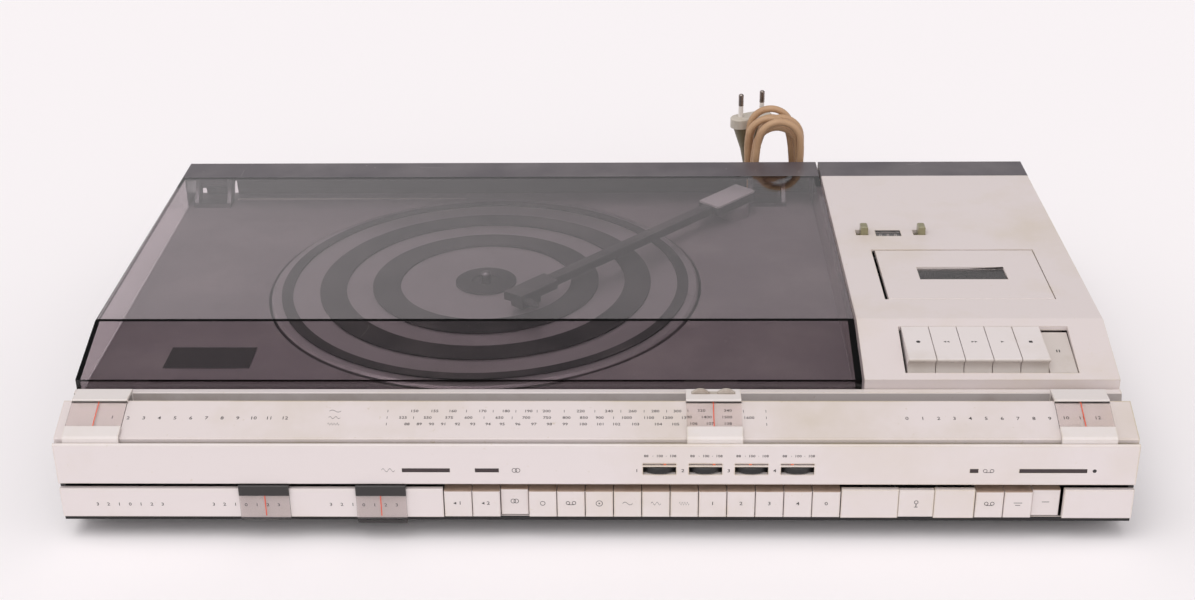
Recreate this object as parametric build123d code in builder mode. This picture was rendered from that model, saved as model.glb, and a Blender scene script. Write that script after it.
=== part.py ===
"""Stereo music centre: record player at the left, cassette deck at the right, dial and keys in front.

All sizes are in millimetres. X runs along the front from left to right, Y runs from the front to
the back and Z is up. The origin lies on the surface that the set stands on, below the middle of
the box round the set without its mains lead.
"""

import os
from math import acos, atan2, cos, dist, pi, radians, sin, sqrt, tan

from build123d import *

os.makedirs("parts", exist_ok=True)

# --------------------------------------------------------------------------- overall sizes
WIDTH = 640.0  # across the cabinet
DEPTH = 376.0  # from the slider windows in front to the back
HEIGHT = 95.0  # from the floor to the flat top of lid and deck
WINDOW_PROUD = 1.5  # the lower slider windows stand this far in front of the front face
DECK_WIDTH = 155.0  # cassette deck cover
SEAM = 1.5  # gap between lid and deck cover

LEFT = -WIDTH / 2
RIGHT = WIDTH / 2
BACK = DEPTH / 2
FRONT = -DEPTH / 2 + WINDOW_PROUD
DECK_LEFT = RIGHT - DECK_WIDTH

# --------------------------------------------------------------------------- walls and gaps
WALL = 3.0
GAP = 0.4  # running gap between a moving piece and its guide
SEAT_GAP = 0.3  # gap between a piece and the face that it rests on
PIN_PLAY = 0.05  # radial clearance of a pin in its bore
EDGE = 0.4  # small chamfer on visible edges

# --------------------------------------------------------------------------- heights of the case
FOOT_HEIGHT = 8.0
CASE_TOP = HEIGHT - 29.0  # top of the tray's side walls
DECK_TOP = CASE_TOP + WALL  # record player's deck plate
SHELF_BOTTOM = 13.0
STRIP_BOTTOM = SHELF_BOTTOM + WALL
STRIP_HEIGHT = 19.8
STRIP_TOP = STRIP_BOTTOM + STRIP_HEIGHT
STRIP_SLOT = 3.4  # black gap between strip and upper band, where the tone sliders run
BAND_BOTTOM = STRIP_TOP + STRIP_SLOT
BAND_TOP = HEIGHT - 28.4
CHIN_SETBACK = 18.5  # the tray's front wall stands this far behind the front face
CHIN = FRONT + CHIN_SETBACK
REAR_INSET = 1.5
PANEL_BACK = BACK - REAR_INSET
PANEL_FRONT = PANEL_BACK - WALL

# --------------------------------------------------------------------------- dial plate and rail
DIAL_EDGE = FRONT + 4.1  # lower front edge of the sloping dial plate
DIAL_RUN = 27.0
DIAL_RISE = 10.3
DIAL_FRONT_Z = HEIGHT - 26.6
DIAL_THICK = 3.0
DIAL_BACK = DIAL_EDGE + DIAL_RUN
DIAL_SLOPE = DIAL_RISE / DIAL_RUN
DIAL_DROP = DIAL_THICK * sqrt(1 + DIAL_SLOPE**2)  # thickness measured straight down
BAND_LIP = 1.6  # thin upper edge of the band, in front of the nose slot
RAIL_BOTTOM = CASE_TOP - 2.0
RAIL_FLOOR = RAIL_BOTTOM + 2.5
RIDGE_TOP = HEIGHT - 21.0
RIDGE_WIDTH = 4.9
RAIL_GAP = 0.9  # between the ridge and the lid's lip

# --------------------------------------------------------------------------- lid and deck outline
LIP = FRONT + 55.2  # front edge of lid and deck cover
LIP_TOP = HEIGHT - 15.1
CREASE = FRONT + 108.1  # where the front slope meets the flat top
FACET_SLOPE = (HEIGHT - LIP_TOP) / (CREASE - LIP)
RIDGE_BACK = LIP - RAIL_GAP
RAIL_FRONT = DIAL_BACK - 0.6
CHANNEL_FRONT = RAIL_FRONT + WALL
REAR_STRIP = 28.5  # depth of the dark strip along the back of lid and deck

# --------------------------------------------------------------------------- lid and its hinge
LID_WALL = 2.5
LID_LIP_WALL = 2.0
LID_SEAM_WALL = 4.0
LID_REST = 0.6  # height of the lid's edge above the deck plate
LID_RIGHT = DECK_LEFT - SEAM
HINGE_Y = BACK - 12.0
HINGE_Z = HEIGHT - 11.0
LID_TAIL_BOTTOM = HINGE_Z - 4.0
LID_CORNER_RADIUS = HINGE_Z - DECK_TOP - 0.4  # the tail's lower corner clears the deck plate
HINGE_PIN = 2.5
HINGE_BOSS = 5.5
HINGE_EAR = 21.0
HINGE_CHEEK = 3.0
HINGE_LEFT_INSET = 21.0
HINGE_RIGHT_INSET = 38.5

# --------------------------------------------------------------------------- record player
PLATTER_X = LEFT + 241.5
PLATTER_Y = FRONT + 209.0
PLATTER_RADIUS = 147.0
WELL_GAP = 2.0
WELL_DEPTH = 17.0
PLATTER_TOP = DECK_TOP + 2.0
MAT_RISE = 1.0
MAT_GROOVE = 1.0
PLATTER_WEB = 5.5
SKIRT_WALL = 4.0
SKIRT_DEPTH = 12.0
SUB_PLATTER_RADIUS = 70.0
SUB_PLATTER_HEIGHT = 5.0
SPINDLE_RADIUS = 3.6
SPINDLE_RISE = 8.0
BEARING_SHAFT = 4.0
BEARING_BOSS = 9.0
BEARING_DEPTH = 18.0
MAT_RINGS = ((10.0, 21.0), (59.0, 78.0), (96.0, 114.0), (132.5, 140.0))
PULLEY_RADIUS = 5.0
PULLEY_REACH = 105.0  # from the platter's centre
PULLEY_ANGLE = 225.0
BELT_WIDTH = 4.0
BELT_THICK = 0.8
MOTOR_RADIUS = 18.0
MOTOR_HEIGHT = 24.0
MOTOR_SHAFT = 1.0

# --------------------------------------------------------------------------- tone arm
ARM_X = PLATTER_X + 176.7
ARM_Y = PLATTER_Y + 121.8
ARM_ANGLE = 227.6  # from the pivot towards the stylus, where the photo shows the arm
ARM_REACH = 222.6
ARM_Z = DECK_TOP + 13.0
ARM_HEIGHT = 6.0
ARM_WIDTH = 8.0
ARM_HOUSING_LENGTH = 44.0
ARM_HOUSING_WIDTH = 20.0
ARM_HOUSING_BACK = 15.0
ARM_TURRET = 12.0
ARM_PIN = 2.5

# --------------------------------------------------------------------------- cassette deck
BAY_LEFT = DECK_LEFT + 21.6
BAY_WIDTH = 110.1
BAY_FRONT = FRONT + 135.5
BAY_DEPTH = 77.0
BAY_WALL = 2.0
BAY_FLOOR = HEIGHT - 19.0
DOOR_GAP = 0.7
DOOR_LEFT_GAP = 2.5
DOOR_PIN = 1.5
DOOR_PIN_INSET = 4.5
DOOR_PIN_DROP = 5.0
DOOR_EAR = 3.0
REEL_SPACING = 42.5
REEL_RADIUS = 3.0
COUNTER_LEFT = DECK_LEFT + 28.0
COUNTER_WIDTH = 17.5
COUNTER_FRONT = FRONT + 235.3
COUNTER_DEPTH = 9.6
LEVER_FRONT = FRONT + 237.0
LEVER_SLOT_DEPTH = 8.5
LEVER_SLOT_WIDTH = 8.4
LEVER_KNOB = 5.0
LEVER_HEIGHT = 6.0
LEVERS = (("counter_reset_lever", DECK_LEFT + 14.3), ("memory_lever", DECK_LEFT + 54.2))

# --------------------------------------------------------------------------- piano keys of the deck
KEYWELL_LEFT = DECK_LEFT + 25.4
KEYWELL_FRONT = FRONT + 60.9
KEYWELL_BACK = FRONT + 101.0
KEYWELL_SIDE_GAP = 1.5
PIANO_KEY_PITCH = 17.35
PIANO_KEY_GAP = 0.5
PIANO_KEYS = ("record_key", "rewind_key", "forward_key", "play_key", "stop_key", "pause_key")
PIANO_PRESS = 8.0  # degrees that a key tips when it is pressed
PIANO_PIVOT_Y = FRONT + 126.5
PIANO_PIVOT_Z = HEIGHT - 11.0
PIANO_ROD = 2.0
PIANO_HUB = 4.0
KEYWELL_RIGHT = KEYWELL_LEFT + KEYWELL_SIDE_GAP + len(PIANO_KEYS) * PIANO_KEY_PITCH + 0.3

# --------------------------------------------------------------------------- front keys
KEY_LEFT = -89.4
KEY_PITCH = 16.9
KEY_GAP = 0.5
KEY_DEPTH = 14.0
KEY_TOP = STRIP_TOP - 1.2
KEY_BOTTOM = STRIP_BOTTOM + GAP
KEY_LATCH = 2.5  # how far a latched key stands in
STEM_WIDTH = 6.0
STEM_HEIGHT = 6.0
STEM_Z = 26.0
STEM_LENGTH = 20.0
SOURCE_KEYS = (
    "speaker_key_1",
    "speaker_key_2",
    "afc_key",
    "mono_key",
    "tape_key",
    "phono_key",
    "long_wave_key",
    "medium_wave_key",
    "fm_key",
    "program_key_1",
    "program_key_2",
    "program_key_3",
    "program_key_4",
    "power_key",
)
TAPE_KEY_LEFT = RIGHT - 93.1
TAPE_KEYS = ("tape_motor_key", "noise_filter_key", "tape_type_key")
LATCHED_KEYS = ("afc_key", "tape_type_key")
KEY_RIGHT = KEY_LEFT + len(SOURCE_KEYS) * KEY_PITCH
TAPE_KEY_RIGHT = TAPE_KEY_LEFT + len(TAPE_KEYS) * KEY_PITCH
BANK_SETBACK = 20.5  # front of the switch banks behind the front face
BANK_DEPTH = 16.0
BANK_FRONT = FRONT + BANK_SETBACK
BANK_BOTTOM = 17.0
BANK_TOP = 34.0

# --------------------------------------------------------------------------- microphone flap
FLAP_LEFT = RIGHT - 138.3
FLAP_WIDTH = 20.7
FLAP_GAP = 0.3
FLAP_THICK = WALL
FLAP_PIN = 0.8
FLAP_PIN_LENGTH = 1.6
MIC_POCKET_DEPTH = 15.0
JACK_RADIUS = 5.0
JACK_BORE = 3.2
JACK_LENGTH = 6.0
JACK_DEPTH = 5.0

# --------------------------------------------------------------------------- sliders
SLIDER_PANE = 1.5
SLIDER_HEADER = 1.6
TOP_SLIDERS = (
    ("volume_slider", LEFT + 5.6, 33.6),
    ("tuning_slider", 55.5, 33.0),
    ("level_slider", RIGHT - 45.5, 32.5),
)
TUNING_WHEEL = 6.5
TUNING_WHEEL_WIDTH = 2.6
TUNING_WHEEL_SPACING = 15.6
TONE_SLIDERS = (("treble_slider", LEFT + 108.1, 30.1, 0.0), ("balance_slider", LEFT + 178.2, 30.1, 2.2))
TONE_HEADER = 6.8
TONE_PANE_BOTTOM = STRIP_BOTTOM - 1.0

# --------------------------------------------------------------------------- station presets
PRESET_LEFTS = (29.6, 56.8, 83.9, 111.0)
PRESET_POINTERS = (42.6, 71.6, 93.0, 117.6)
PRESET_SLOT = 19.6
PRESET_WHEEL = 12.0
PRESET_WHEEL_THICK = 4.2
PRESET_WHEEL_Z = BAND_BOTTOM + 9.7
PRESET_WHEEL_PROUD = 0.9
PRESET_PIN = 1.5
POINTER_Z = BAND_BOTTOM + 14.0
POINTER_THICK = 0.8
POINTER_WIDTH = 1.6
POINTER_RUNNER = 6.0
POINTER_RUNNER_DEPTH = 4.0

# --------------------------------------------------------------------------- mains lead
CORD = 5.5
CORD_RADIUS = CORD / 2
HANK_X = 133.5
HANK_Y = BACK + 15.0
HANK_FOLD = 3 * CORD
HANK_RUN = 15 * CORD
HANK_PITCH = 6.2
HANK_LOOPS = 6
HANK_LOW = CORD_RADIUS + 0.7
PLUG_YAW = 26.0
PLUG_BODY = 40.0
PLUG_PIN = 2.0
PLUG_PIN_LENGTH = 19.0
PLUG_PIN_SPACING = 19.0
GLAND_X = 250.0
GLAND_Z = 26.0
GLAND_RADIUS = 6.5


# --------------------------------------------------------------------------- helpers
def block(x, y, z, mode=Mode.ADD):
    """Add a box between two limits on each axis to the part that is being built."""
    middle = ((x[0] + x[1]) / 2, (y[0] + y[1]) / 2, (z[0] + z[1]) / 2)
    with Locations(middle):
        Box(x[1] - x[0], y[1] - y[0], z[1] - z[0], mode=mode)


def profile_along_x(points, x_from, x_to, mode=Mode.ADD):
    """Extrude a closed outline of (Y, Z) points from one X to another."""
    with BuildSketch(Plane.YZ.offset(x_from)) as outline:
        Polygon(*points, align=(Align.NONE, Align.NONE))
    extrude(outline.sketch, amount=x_to - x_from, mode=mode)


def rod_along_x(x_from, x_to, y, z, radius, mode=Mode.ADD):
    """Add a round rod that lies along X."""
    with BuildSketch(Plane.YZ.offset(x_from)) as section:
        with Locations((y, z)):
            Circle(radius)
    extrude(section.sketch, amount=x_to - x_from, mode=mode)


def rod_along_y(x, z, y_from, y_to, radius, mode=Mode.ADD):
    """Add a round rod that lies along Y."""
    with BuildSketch(Plane.XZ.offset(-y_from)) as section:
        with Locations((x, z)):
            Circle(radius)
    extrude(section.sketch, amount=-(y_to - y_from), mode=mode)


def post(x, y, z_from, z_to, radius, mode=Mode.ADD):
    """Add a round post that stands along Z."""
    with BuildSketch(Plane.XY.offset(z_from)) as section:
        with Locations((x, y)):
            Circle(radius)
    extrude(section.sketch, amount=z_to - z_from, mode=mode)


def save(label, *pieces):
    """Write one sub-part, made of one or more separate pieces, to its file."""
    solids = [solid for piece in pieces for solid in piece.solids()]
    part = solids[0] if len(solids) == 1 else Compound(solids)
    part.label = label
    export_step(part, f"parts/{label}.step")


def dial_top(y):
    """Height of the dial plate's upper face at a given Y."""
    return DIAL_FRONT_Z + (y - DIAL_EDGE) * DIAL_SLOPE


def facet_top(y):
    """Height of the front slope of lid and deck cover at a given Y."""
    return LIP_TOP + (y - LIP) * FACET_SLOPE


def facet_under(y, wall):
    """Height of the underside of that slope for a given wall."""
    return facet_top(y) - wall * sqrt(1 + FACET_SLOPE**2)


def crease_under(wall):
    """Y where the underside of the slope meets the underside of the flat top."""
    return CREASE - wall * (sqrt(1 + FACET_SLOPE**2) - 1) / FACET_SLOPE


# =========================================================================== case
TRAY_BOSSES = [(x, y) for x in (LEFT + 30, -100.0, 60.0, 140.0) for y in (CHIN + 40, 60.0)]
BOSS_TOP = 20.0
BOSS_RADIUS = 4.0
TRAY_FLOOR = FOOT_HEIGHT + WALL
VENT_LENGTH = 40.0
VENT_WIDTH = 3.0

side_wall = [
    (CHIN, FOOT_HEIGHT),
    (PANEL_FRONT, FOOT_HEIGHT),
    (PANEL_FRONT, CASE_TOP),
    (RIDGE_BACK, CASE_TOP),
    (RIDGE_BACK, RAIL_BOTTOM),
    (RAIL_FRONT, RAIL_BOTTOM),
    (RAIL_FRONT, dial_top(RAIL_FRONT) - DIAL_DROP),
    (DIAL_EDGE, dial_top(DIAL_EDGE) - DIAL_DROP),
    (FRONT + WALL, BAND_TOP - 6.0),
    (FRONT + WALL, STRIP_BOTTOM),
    (CHIN + WALL, STRIP_BOTTOM),
    (CHIN + WALL, SHELF_BOTTOM),
    (CHIN, SHELF_BOTTOM),
]

with BuildPart() as base_tray:
    block((LEFT, RIGHT), (CHIN, PANEL_FRONT), (FOOT_HEIGHT, TRAY_FLOOR))
    block((LEFT, RIGHT), (CHIN, CHIN + WALL), (TRAY_FLOOR, SHELF_BOTTOM))
    profile_along_x(side_wall, LEFT, LEFT + WALL)
    profile_along_x(side_wall, RIGHT - WALL, RIGHT)
    for rib_y in (CHIN + 70, CHIN + 140, CHIN + 210, CHIN + 255):
        block((LEFT + WALL, RIGHT - WALL), (rib_y, rib_y + 2), (TRAY_FLOOR, TRAY_FLOOR + 5))
    for boss_x, boss_y in TRAY_BOSSES:
        post(boss_x, boss_y, TRAY_FLOOR, BOSS_TOP, BOSS_RADIUS)
    with BuildSketch(Plane.XY.offset(FOOT_HEIGHT)):
        with GridLocations(10, 70, 9, 3):
            Rectangle(VENT_WIDTH, VENT_LENGTH)
    extrude(amount=WALL, mode=Mode.SUBTRACT)
save("base_tray", base_tray.part)

FOOT_RADIUS = 12.0
FOOT_INSET_X = 40.0
FOOT_SPOTS = [
    (x, y) for x in (LEFT + FOOT_INSET_X, RIGHT - FOOT_INSET_X) for y in (CHIN + 25, BACK - 35)
]
with BuildPart() as rubber_feet:
    with BuildSketch(Plane.XY):
        with Locations(*FOOT_SPOTS):
            Circle(FOOT_RADIUS)
    extrude(amount=FOOT_HEIGHT)
    chamfer(rubber_feet.edges().group_by(Axis.Z)[0], 0.8)
save("rubber_feet", rubber_feet.part)

# --------------------------------------------------------------------------- rear panel
SOCKET_RADIUS = 8.5
SOCKET_Z = 34.0
SOCKETS = [LEFT + 60 + 30 * i for i in range(6)]
AERIAL_X = (LEFT + 265, LEFT + 285)
AERIAL_RADIUS = 5.0
SOCKET_PIN_CIRCLE = 4.5
SOCKET_PIN_HOLE = 1.4
REAR_VENT_CENTRE = (130.0, 44.0)
REAR_VENT_PITCH = 9.0
REAR_VENT_COUNT = 14
REAR_VENT_HEIGHT = 26.0

with BuildPart() as rear_panel:
    block((LEFT, RIGHT), (PANEL_FRONT, PANEL_BACK), (FOOT_HEIGHT, CASE_TOP))
    for socket_x in SOCKETS:
        rod_along_y(socket_x, SOCKET_Z, PANEL_FRONT, PANEL_BACK, SOCKET_RADIUS, Mode.SUBTRACT)
    for aerial_x in AERIAL_X:
        rod_along_y(aerial_x, SOCKET_Z, PANEL_FRONT, PANEL_BACK, AERIAL_RADIUS, Mode.SUBTRACT)
    rod_along_y(GLAND_X, GLAND_Z, PANEL_FRONT, PANEL_BACK, GLAND_RADIUS, Mode.SUBTRACT)
    with BuildSketch(Plane.XZ.offset(-PANEL_FRONT)):
        with Locations(REAR_VENT_CENTRE):
            with GridLocations(REAR_VENT_PITCH, 0, REAR_VENT_COUNT, 1):
                Rectangle(VENT_WIDTH, REAR_VENT_HEIGHT)
    extrude(amount=-WALL, mode=Mode.SUBTRACT)

with BuildPart() as sockets:
    for socket_x in SOCKETS:
        rod_along_y(socket_x, SOCKET_Z, PANEL_FRONT - 4, BACK - 0.5, SOCKET_RADIUS - 0.1)
        rod_along_y(socket_x, SOCKET_Z, BACK - 2.0, BACK, SOCKET_RADIUS - 1.5, Mode.SUBTRACT)
        for turn in range(5):
            pin_angle = radians(180 + 45 * turn)
            pin_x = socket_x + SOCKET_PIN_CIRCLE * cos(pin_angle)
            pin_z = SOCKET_Z + SOCKET_PIN_CIRCLE * sin(pin_angle)
            block(
                (pin_x - SOCKET_PIN_HOLE / 2, pin_x + SOCKET_PIN_HOLE / 2),
                (PANEL_FRONT, BACK - 2.0),
                (pin_z - SOCKET_PIN_HOLE / 2, pin_z + SOCKET_PIN_HOLE / 2),
                Mode.SUBTRACT,
            )
    for aerial_x in AERIAL_X:
        rod_along_y(aerial_x, SOCKET_Z, PANEL_FRONT - 4, BACK, AERIAL_RADIUS - 0.1)
        rod_along_y(aerial_x, SOCKET_Z, PANEL_FRONT, BACK, AERIAL_RADIUS - 2.0, Mode.SUBTRACT)

with BuildPart() as gland:
    rod_along_y(GLAND_X, GLAND_Z, PANEL_FRONT - 3, PANEL_BACK, GLAND_RADIUS - 0.1)
    rod_along_y(GLAND_X, GLAND_Z, PANEL_BACK, BACK, GLAND_RADIUS + 2.0)
save("rear_panel", rear_panel.part, sockets.part, gland.part)

# --------------------------------------------------------------------------- upper band
BAND_SHOULDER = BAND_TOP - 6.0
FLANGE_DEPTH = 10.5
WINDOW_HEIGHT = 2.7
WINDOW_Z = BAND_BOTTOM + 9.85
INDICATORS = ((-113.3, 28.5), (-69.9, 14.2), (RIGHT - 98.0, 5.0), (RIGHT - 69.0, 39.7))
THUMB_SLOT_HEIGHT = 5.2
POINTER_SLOT_HEIGHT = 1.2
THUMB_SLOT_Z = BAND_BOTTOM + 9.7

band = [
    (FRONT, BAND_BOTTOM + 0.5),
    (FRONT, BAND_TOP - 0.8),
    (FRONT + 0.8, BAND_TOP),
    (FRONT + BAND_LIP, BAND_TOP),
    (FRONT + BAND_LIP, BAND_SHOULDER + 1.5),
    (FRONT + WALL, BAND_SHOULDER),
    (FRONT + WALL, BAND_BOTTOM + WALL),
    (FRONT + FLANGE_DEPTH, BAND_BOTTOM + WALL),
    (FRONT + FLANGE_DEPTH, BAND_BOTTOM),
    (FRONT + 0.5, BAND_BOTTOM),
]
with BuildPart() as front_panel:
    profile_along_x(band, LEFT, RIGHT)
    with BuildSketch(Plane.XZ.offset(-FRONT)):
        for window_left, window_width in INDICATORS:
            with Locations((window_left + window_width / 2, WINDOW_Z)):
                Rectangle(window_width, WINDOW_HEIGHT)
        for slot_left in PRESET_LEFTS:
            with Locations((slot_left + PRESET_SLOT / 2, THUMB_SLOT_Z)):
                Rectangle(PRESET_SLOT, THUMB_SLOT_HEIGHT)
            with Locations((slot_left + PRESET_SLOT / 2, POINTER_Z)):
                Rectangle(PRESET_SLOT, POINTER_SLOT_HEIGHT)
    extrude(amount=-WALL, mode=Mode.SUBTRACT)
    for end_left in (LEFT, RIGHT - WALL):
        block(
            (end_left, end_left + WALL),
            (FRONT + WALL, FRONT + FLANGE_DEPTH),
            (BAND_BOTTOM, BAND_SHOULDER),
            Mode.SUBTRACT,
        )

with BuildPart() as indicator_windows:
    for window_left, window_width in INDICATORS:
        block(
            (window_left + 0.1, window_left + window_width - 0.1),
            (FRONT + 0.3, FRONT + 2.3),
            (WINDOW_Z - WINDOW_HEIGHT / 2 + 0.1, WINDOW_Z + WINDOW_HEIGHT / 2 - 0.1),
        )
save("front_panel", front_panel.part, indicator_windows.part)

# --------------------------------------------------------------------------- lower strip
SHELF_FRONT = FRONT + 2.0
POCKET_LEFT = FLAP_LEFT - 1.5
POCKET_RIGHT = FLAP_LEFT + FLAP_WIDTH + 1.5
FLAP_AXIS_Y = FRONT + FLAP_THICK / 2
FLAP_AXIS_Z = STRIP_BOTTOM + GAP + FLAP_THICK / 2
JACK_X = FLAP_LEFT + FLAP_WIDTH / 2
JACK_Z = STRIP_BOTTOM + STRIP_HEIGHT / 2
JACK_FRONT = FRONT + MIC_POCKET_DEPTH - 2
strip_segments = (
    (LEFT, KEY_LEFT - GAP),
    (KEY_RIGHT + GAP, FLAP_LEFT - FLAP_GAP),
    (FLAP_LEFT + FLAP_WIDTH + FLAP_GAP, TAPE_KEY_LEFT - GAP),
    (TAPE_KEY_RIGHT + 1.5, RIGHT),
)
with BuildPart() as lower_strip:
    block((LEFT, RIGHT), (SHELF_FRONT, CHIN + WALL), (SHELF_BOTTOM, STRIP_BOTTOM))
    for segment_left, segment_right in strip_segments:
        block((segment_left, segment_right), (FRONT, FRONT + WALL), (STRIP_BOTTOM, STRIP_TOP))
    face_edges = lower_strip.edges().filter_by(Axis.X).group_by(Axis.Y)[0]
    chamfer(face_edges, EDGE)
    for wall_x in (POCKET_LEFT - 1.5, POCKET_RIGHT):
        block((wall_x, wall_x + 1.5), (FRONT + WALL, FRONT + MIC_POCKET_DEPTH), (STRIP_BOTTOM, STRIP_TOP))
    block(
        (POCKET_LEFT - 1.5, POCKET_RIGHT + 1.5),
        (FRONT + MIC_POCKET_DEPTH, FRONT + MIC_POCKET_DEPTH + 2),
        (STRIP_BOTTOM, STRIP_TOP),
    )
    rod_along_y(JACK_X, JACK_Z, JACK_FRONT, JACK_FRONT + JACK_LENGTH, JACK_RADIUS)
    rod_along_y(JACK_X, JACK_Z, JACK_FRONT, JACK_FRONT + JACK_DEPTH, JACK_BORE, Mode.SUBTRACT)
    rod_along_x(
        FLAP_LEFT - FLAP_PIN_LENGTH - GAP,
        FLAP_LEFT + FLAP_WIDTH + FLAP_PIN_LENGTH + GAP,
        FLAP_AXIS_Y,
        FLAP_AXIS_Z,
        FLAP_PIN + PIN_PLAY,
        Mode.SUBTRACT,
    )
save("lower_strip", lower_strip.part)

# --------------------------------------------------------------------------- dial plate and rail
dial_outline = [
    (DIAL_EDGE, dial_top(DIAL_EDGE) - DIAL_DROP),
    (DIAL_EDGE, dial_top(DIAL_EDGE) - 0.6),
    (DIAL_EDGE + 0.6, dial_top(DIAL_EDGE + 0.6)),
    (DIAL_BACK, dial_top(DIAL_BACK)),
    (DIAL_BACK, dial_top(DIAL_BACK) - DIAL_DROP),
]
with BuildPart() as dial_plate:
    profile_along_x(dial_outline, LEFT, RIGHT)
save("dial_plate", dial_plate.part)

rail_outline = [
    (RAIL_FRONT, RAIL_BOTTOM),
    (RIDGE_BACK, RAIL_BOTTOM),
    (RIDGE_BACK, RIDGE_TOP - 0.5),
    (RIDGE_BACK - 0.5, RIDGE_TOP),
    (RIDGE_BACK - RIDGE_WIDTH + 0.5, RIDGE_TOP),
    (RIDGE_BACK - RIDGE_WIDTH, RIDGE_TOP - 0.5),
    (RIDGE_BACK - RIDGE_WIDTH - 2.9, RAIL_FLOOR),
    (CHANNEL_FRONT, RAIL_FLOOR),
    (CHANNEL_FRONT, dial_top(CHANNEL_FRONT) - DIAL_DROP - 0.8),
    (DIAL_BACK + 0.2, dial_top(DIAL_BACK) - DIAL_DROP),
    (RAIL_FRONT, dial_top(RAIL_FRONT) - DIAL_DROP),
]
with BuildPart() as trim_rail:
    profile_along_x(rail_outline, LEFT, RIGHT)
save("trim_rail", trim_rail.part)

# =========================================================================== cassette deck
DECK_REAR_WALL = BACK - WALL
crease_inner = crease_under(WALL)
deck_outer = [
    (LIP, CASE_TOP),
    (LIP, LIP_TOP),
    (CREASE, HEIGHT),
    (BACK, HEIGHT),
    (BACK, CASE_TOP),
]
deck_inner = [
    (LIP + WALL, CASE_TOP),
    (LIP + WALL, facet_under(LIP + WALL, WALL)),
    (crease_inner, HEIGHT - WALL),
    (DECK_REAR_WALL, HEIGHT - WALL),
    (DECK_REAR_WALL, CASE_TOP),
]
STRIP_RECESS = 1.0
UNDERCUT = 1.9

with BuildPart() as deck_cover:
    profile_along_x(deck_outer, DECK_LEFT, RIGHT)
    chamfer(deck_cover.faces().sort_by(Axis.Z)[-1].edges().filter_by(Axis.Y), EDGE)
    profile_along_x(deck_inner, DECK_LEFT + WALL, RIGHT - WALL, Mode.SUBTRACT)
    block(
        (DECK_LEFT - 1, RIGHT + 1),
        (BACK - REAR_STRIP, BACK + 1),
        (HEIGHT - STRIP_RECESS, HEIGHT + 1),
        Mode.SUBTRACT,
    )
    block(
        (BAY_LEFT, BAY_LEFT + BAY_WIDTH),
        (BAY_FRONT, BAY_FRONT + BAY_DEPTH),
        (HEIGHT - WALL, HEIGHT),
        Mode.SUBTRACT,
    )
    profile_along_x(
        [
            (BAY_FRONT + BAY_DEPTH, HEIGHT - WALL + UNDERCUT),
            (BAY_FRONT + BAY_DEPTH + UNDERCUT, HEIGHT - WALL),
            (BAY_FRONT + BAY_DEPTH, HEIGHT - WALL),
        ],
        BAY_LEFT,
        BAY_LEFT + BAY_WIDTH,
        Mode.SUBTRACT,
    )
    block(
        (KEYWELL_LEFT, KEYWELL_RIGHT),
        (KEYWELL_FRONT, KEYWELL_BACK),
        (facet_under(KEYWELL_FRONT, WALL) - 1, HEIGHT),
        Mode.SUBTRACT,
    )
    block(
        (COUNTER_LEFT, COUNTER_LEFT + COUNTER_WIDTH),
        (COUNTER_FRONT, COUNTER_FRONT + COUNTER_DEPTH),
        (HEIGHT - WALL, HEIGHT),
        Mode.SUBTRACT,
    )
    for lever_name, slot_left in LEVERS:
        block(
            (slot_left, slot_left + LEVER_SLOT_WIDTH),
            (LEVER_FRONT, LEVER_FRONT + LEVER_SLOT_DEPTH),
            (HEIGHT - WALL, HEIGHT),
            Mode.SUBTRACT,
        )

with BuildPart() as deck_rear_strip:
    block((DECK_LEFT, RIGHT), (BACK - REAR_STRIP, BACK), (HEIGHT - STRIP_RECESS, HEIGHT))

with BuildPart() as counter_pane:
    block(
        (COUNTER_LEFT + 0.1, COUNTER_LEFT + COUNTER_WIDTH - 0.1),
        (COUNTER_FRONT + 0.1, COUNTER_FRONT + COUNTER_DEPTH - 0.1),
        (HEIGHT - 2.0, HEIGHT - 0.8),
    )
    drum_radius = 5.0
    for drum in range(3):
        drum_left = COUNTER_LEFT + 1.2 + drum * 5.2
        rod_along_x(
            drum_left,
            drum_left + 4.8,
            COUNTER_FRONT + COUNTER_DEPTH / 2,
            HEIGHT - 2.4 - drum_radius,
            drum_radius,
        )
save("deck_cover", deck_cover.part, deck_rear_strip.part, counter_pane.part)

# --------------------------------------------------------------------------- counter levers
LEVER_FOOT = 2.6
LEVER_FOOT_MARGIN = 2.5
for lever_name, slot_left in LEVERS:
    knob_right = slot_left + LEVER_SLOT_WIDTH - SEAT_GAP
    knob_left = knob_right - LEVER_KNOB
    with BuildPart() as lever:
        block(
            (knob_left, knob_right),
            (LEVER_FRONT + GAP, LEVER_FRONT + LEVER_SLOT_DEPTH - GAP),
            (HEIGHT - WALL - SEAT_GAP, HEIGHT + LEVER_HEIGHT),
        )
        chamfer(lever.faces().sort_by(Axis.Z)[-1].edges(), 0.8)
        block(
            (knob_left - LEVER_FOOT_MARGIN, knob_right + LEVER_FOOT_MARGIN),
            (LEVER_FRONT - LEVER_FOOT_MARGIN, LEVER_FRONT + LEVER_SLOT_DEPTH + LEVER_FOOT_MARGIN),
            (HEIGHT - WALL - SEAT_GAP - LEVER_FOOT, HEIGHT - WALL - SEAT_GAP),
        )
    save(lever_name, lever.part)

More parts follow.
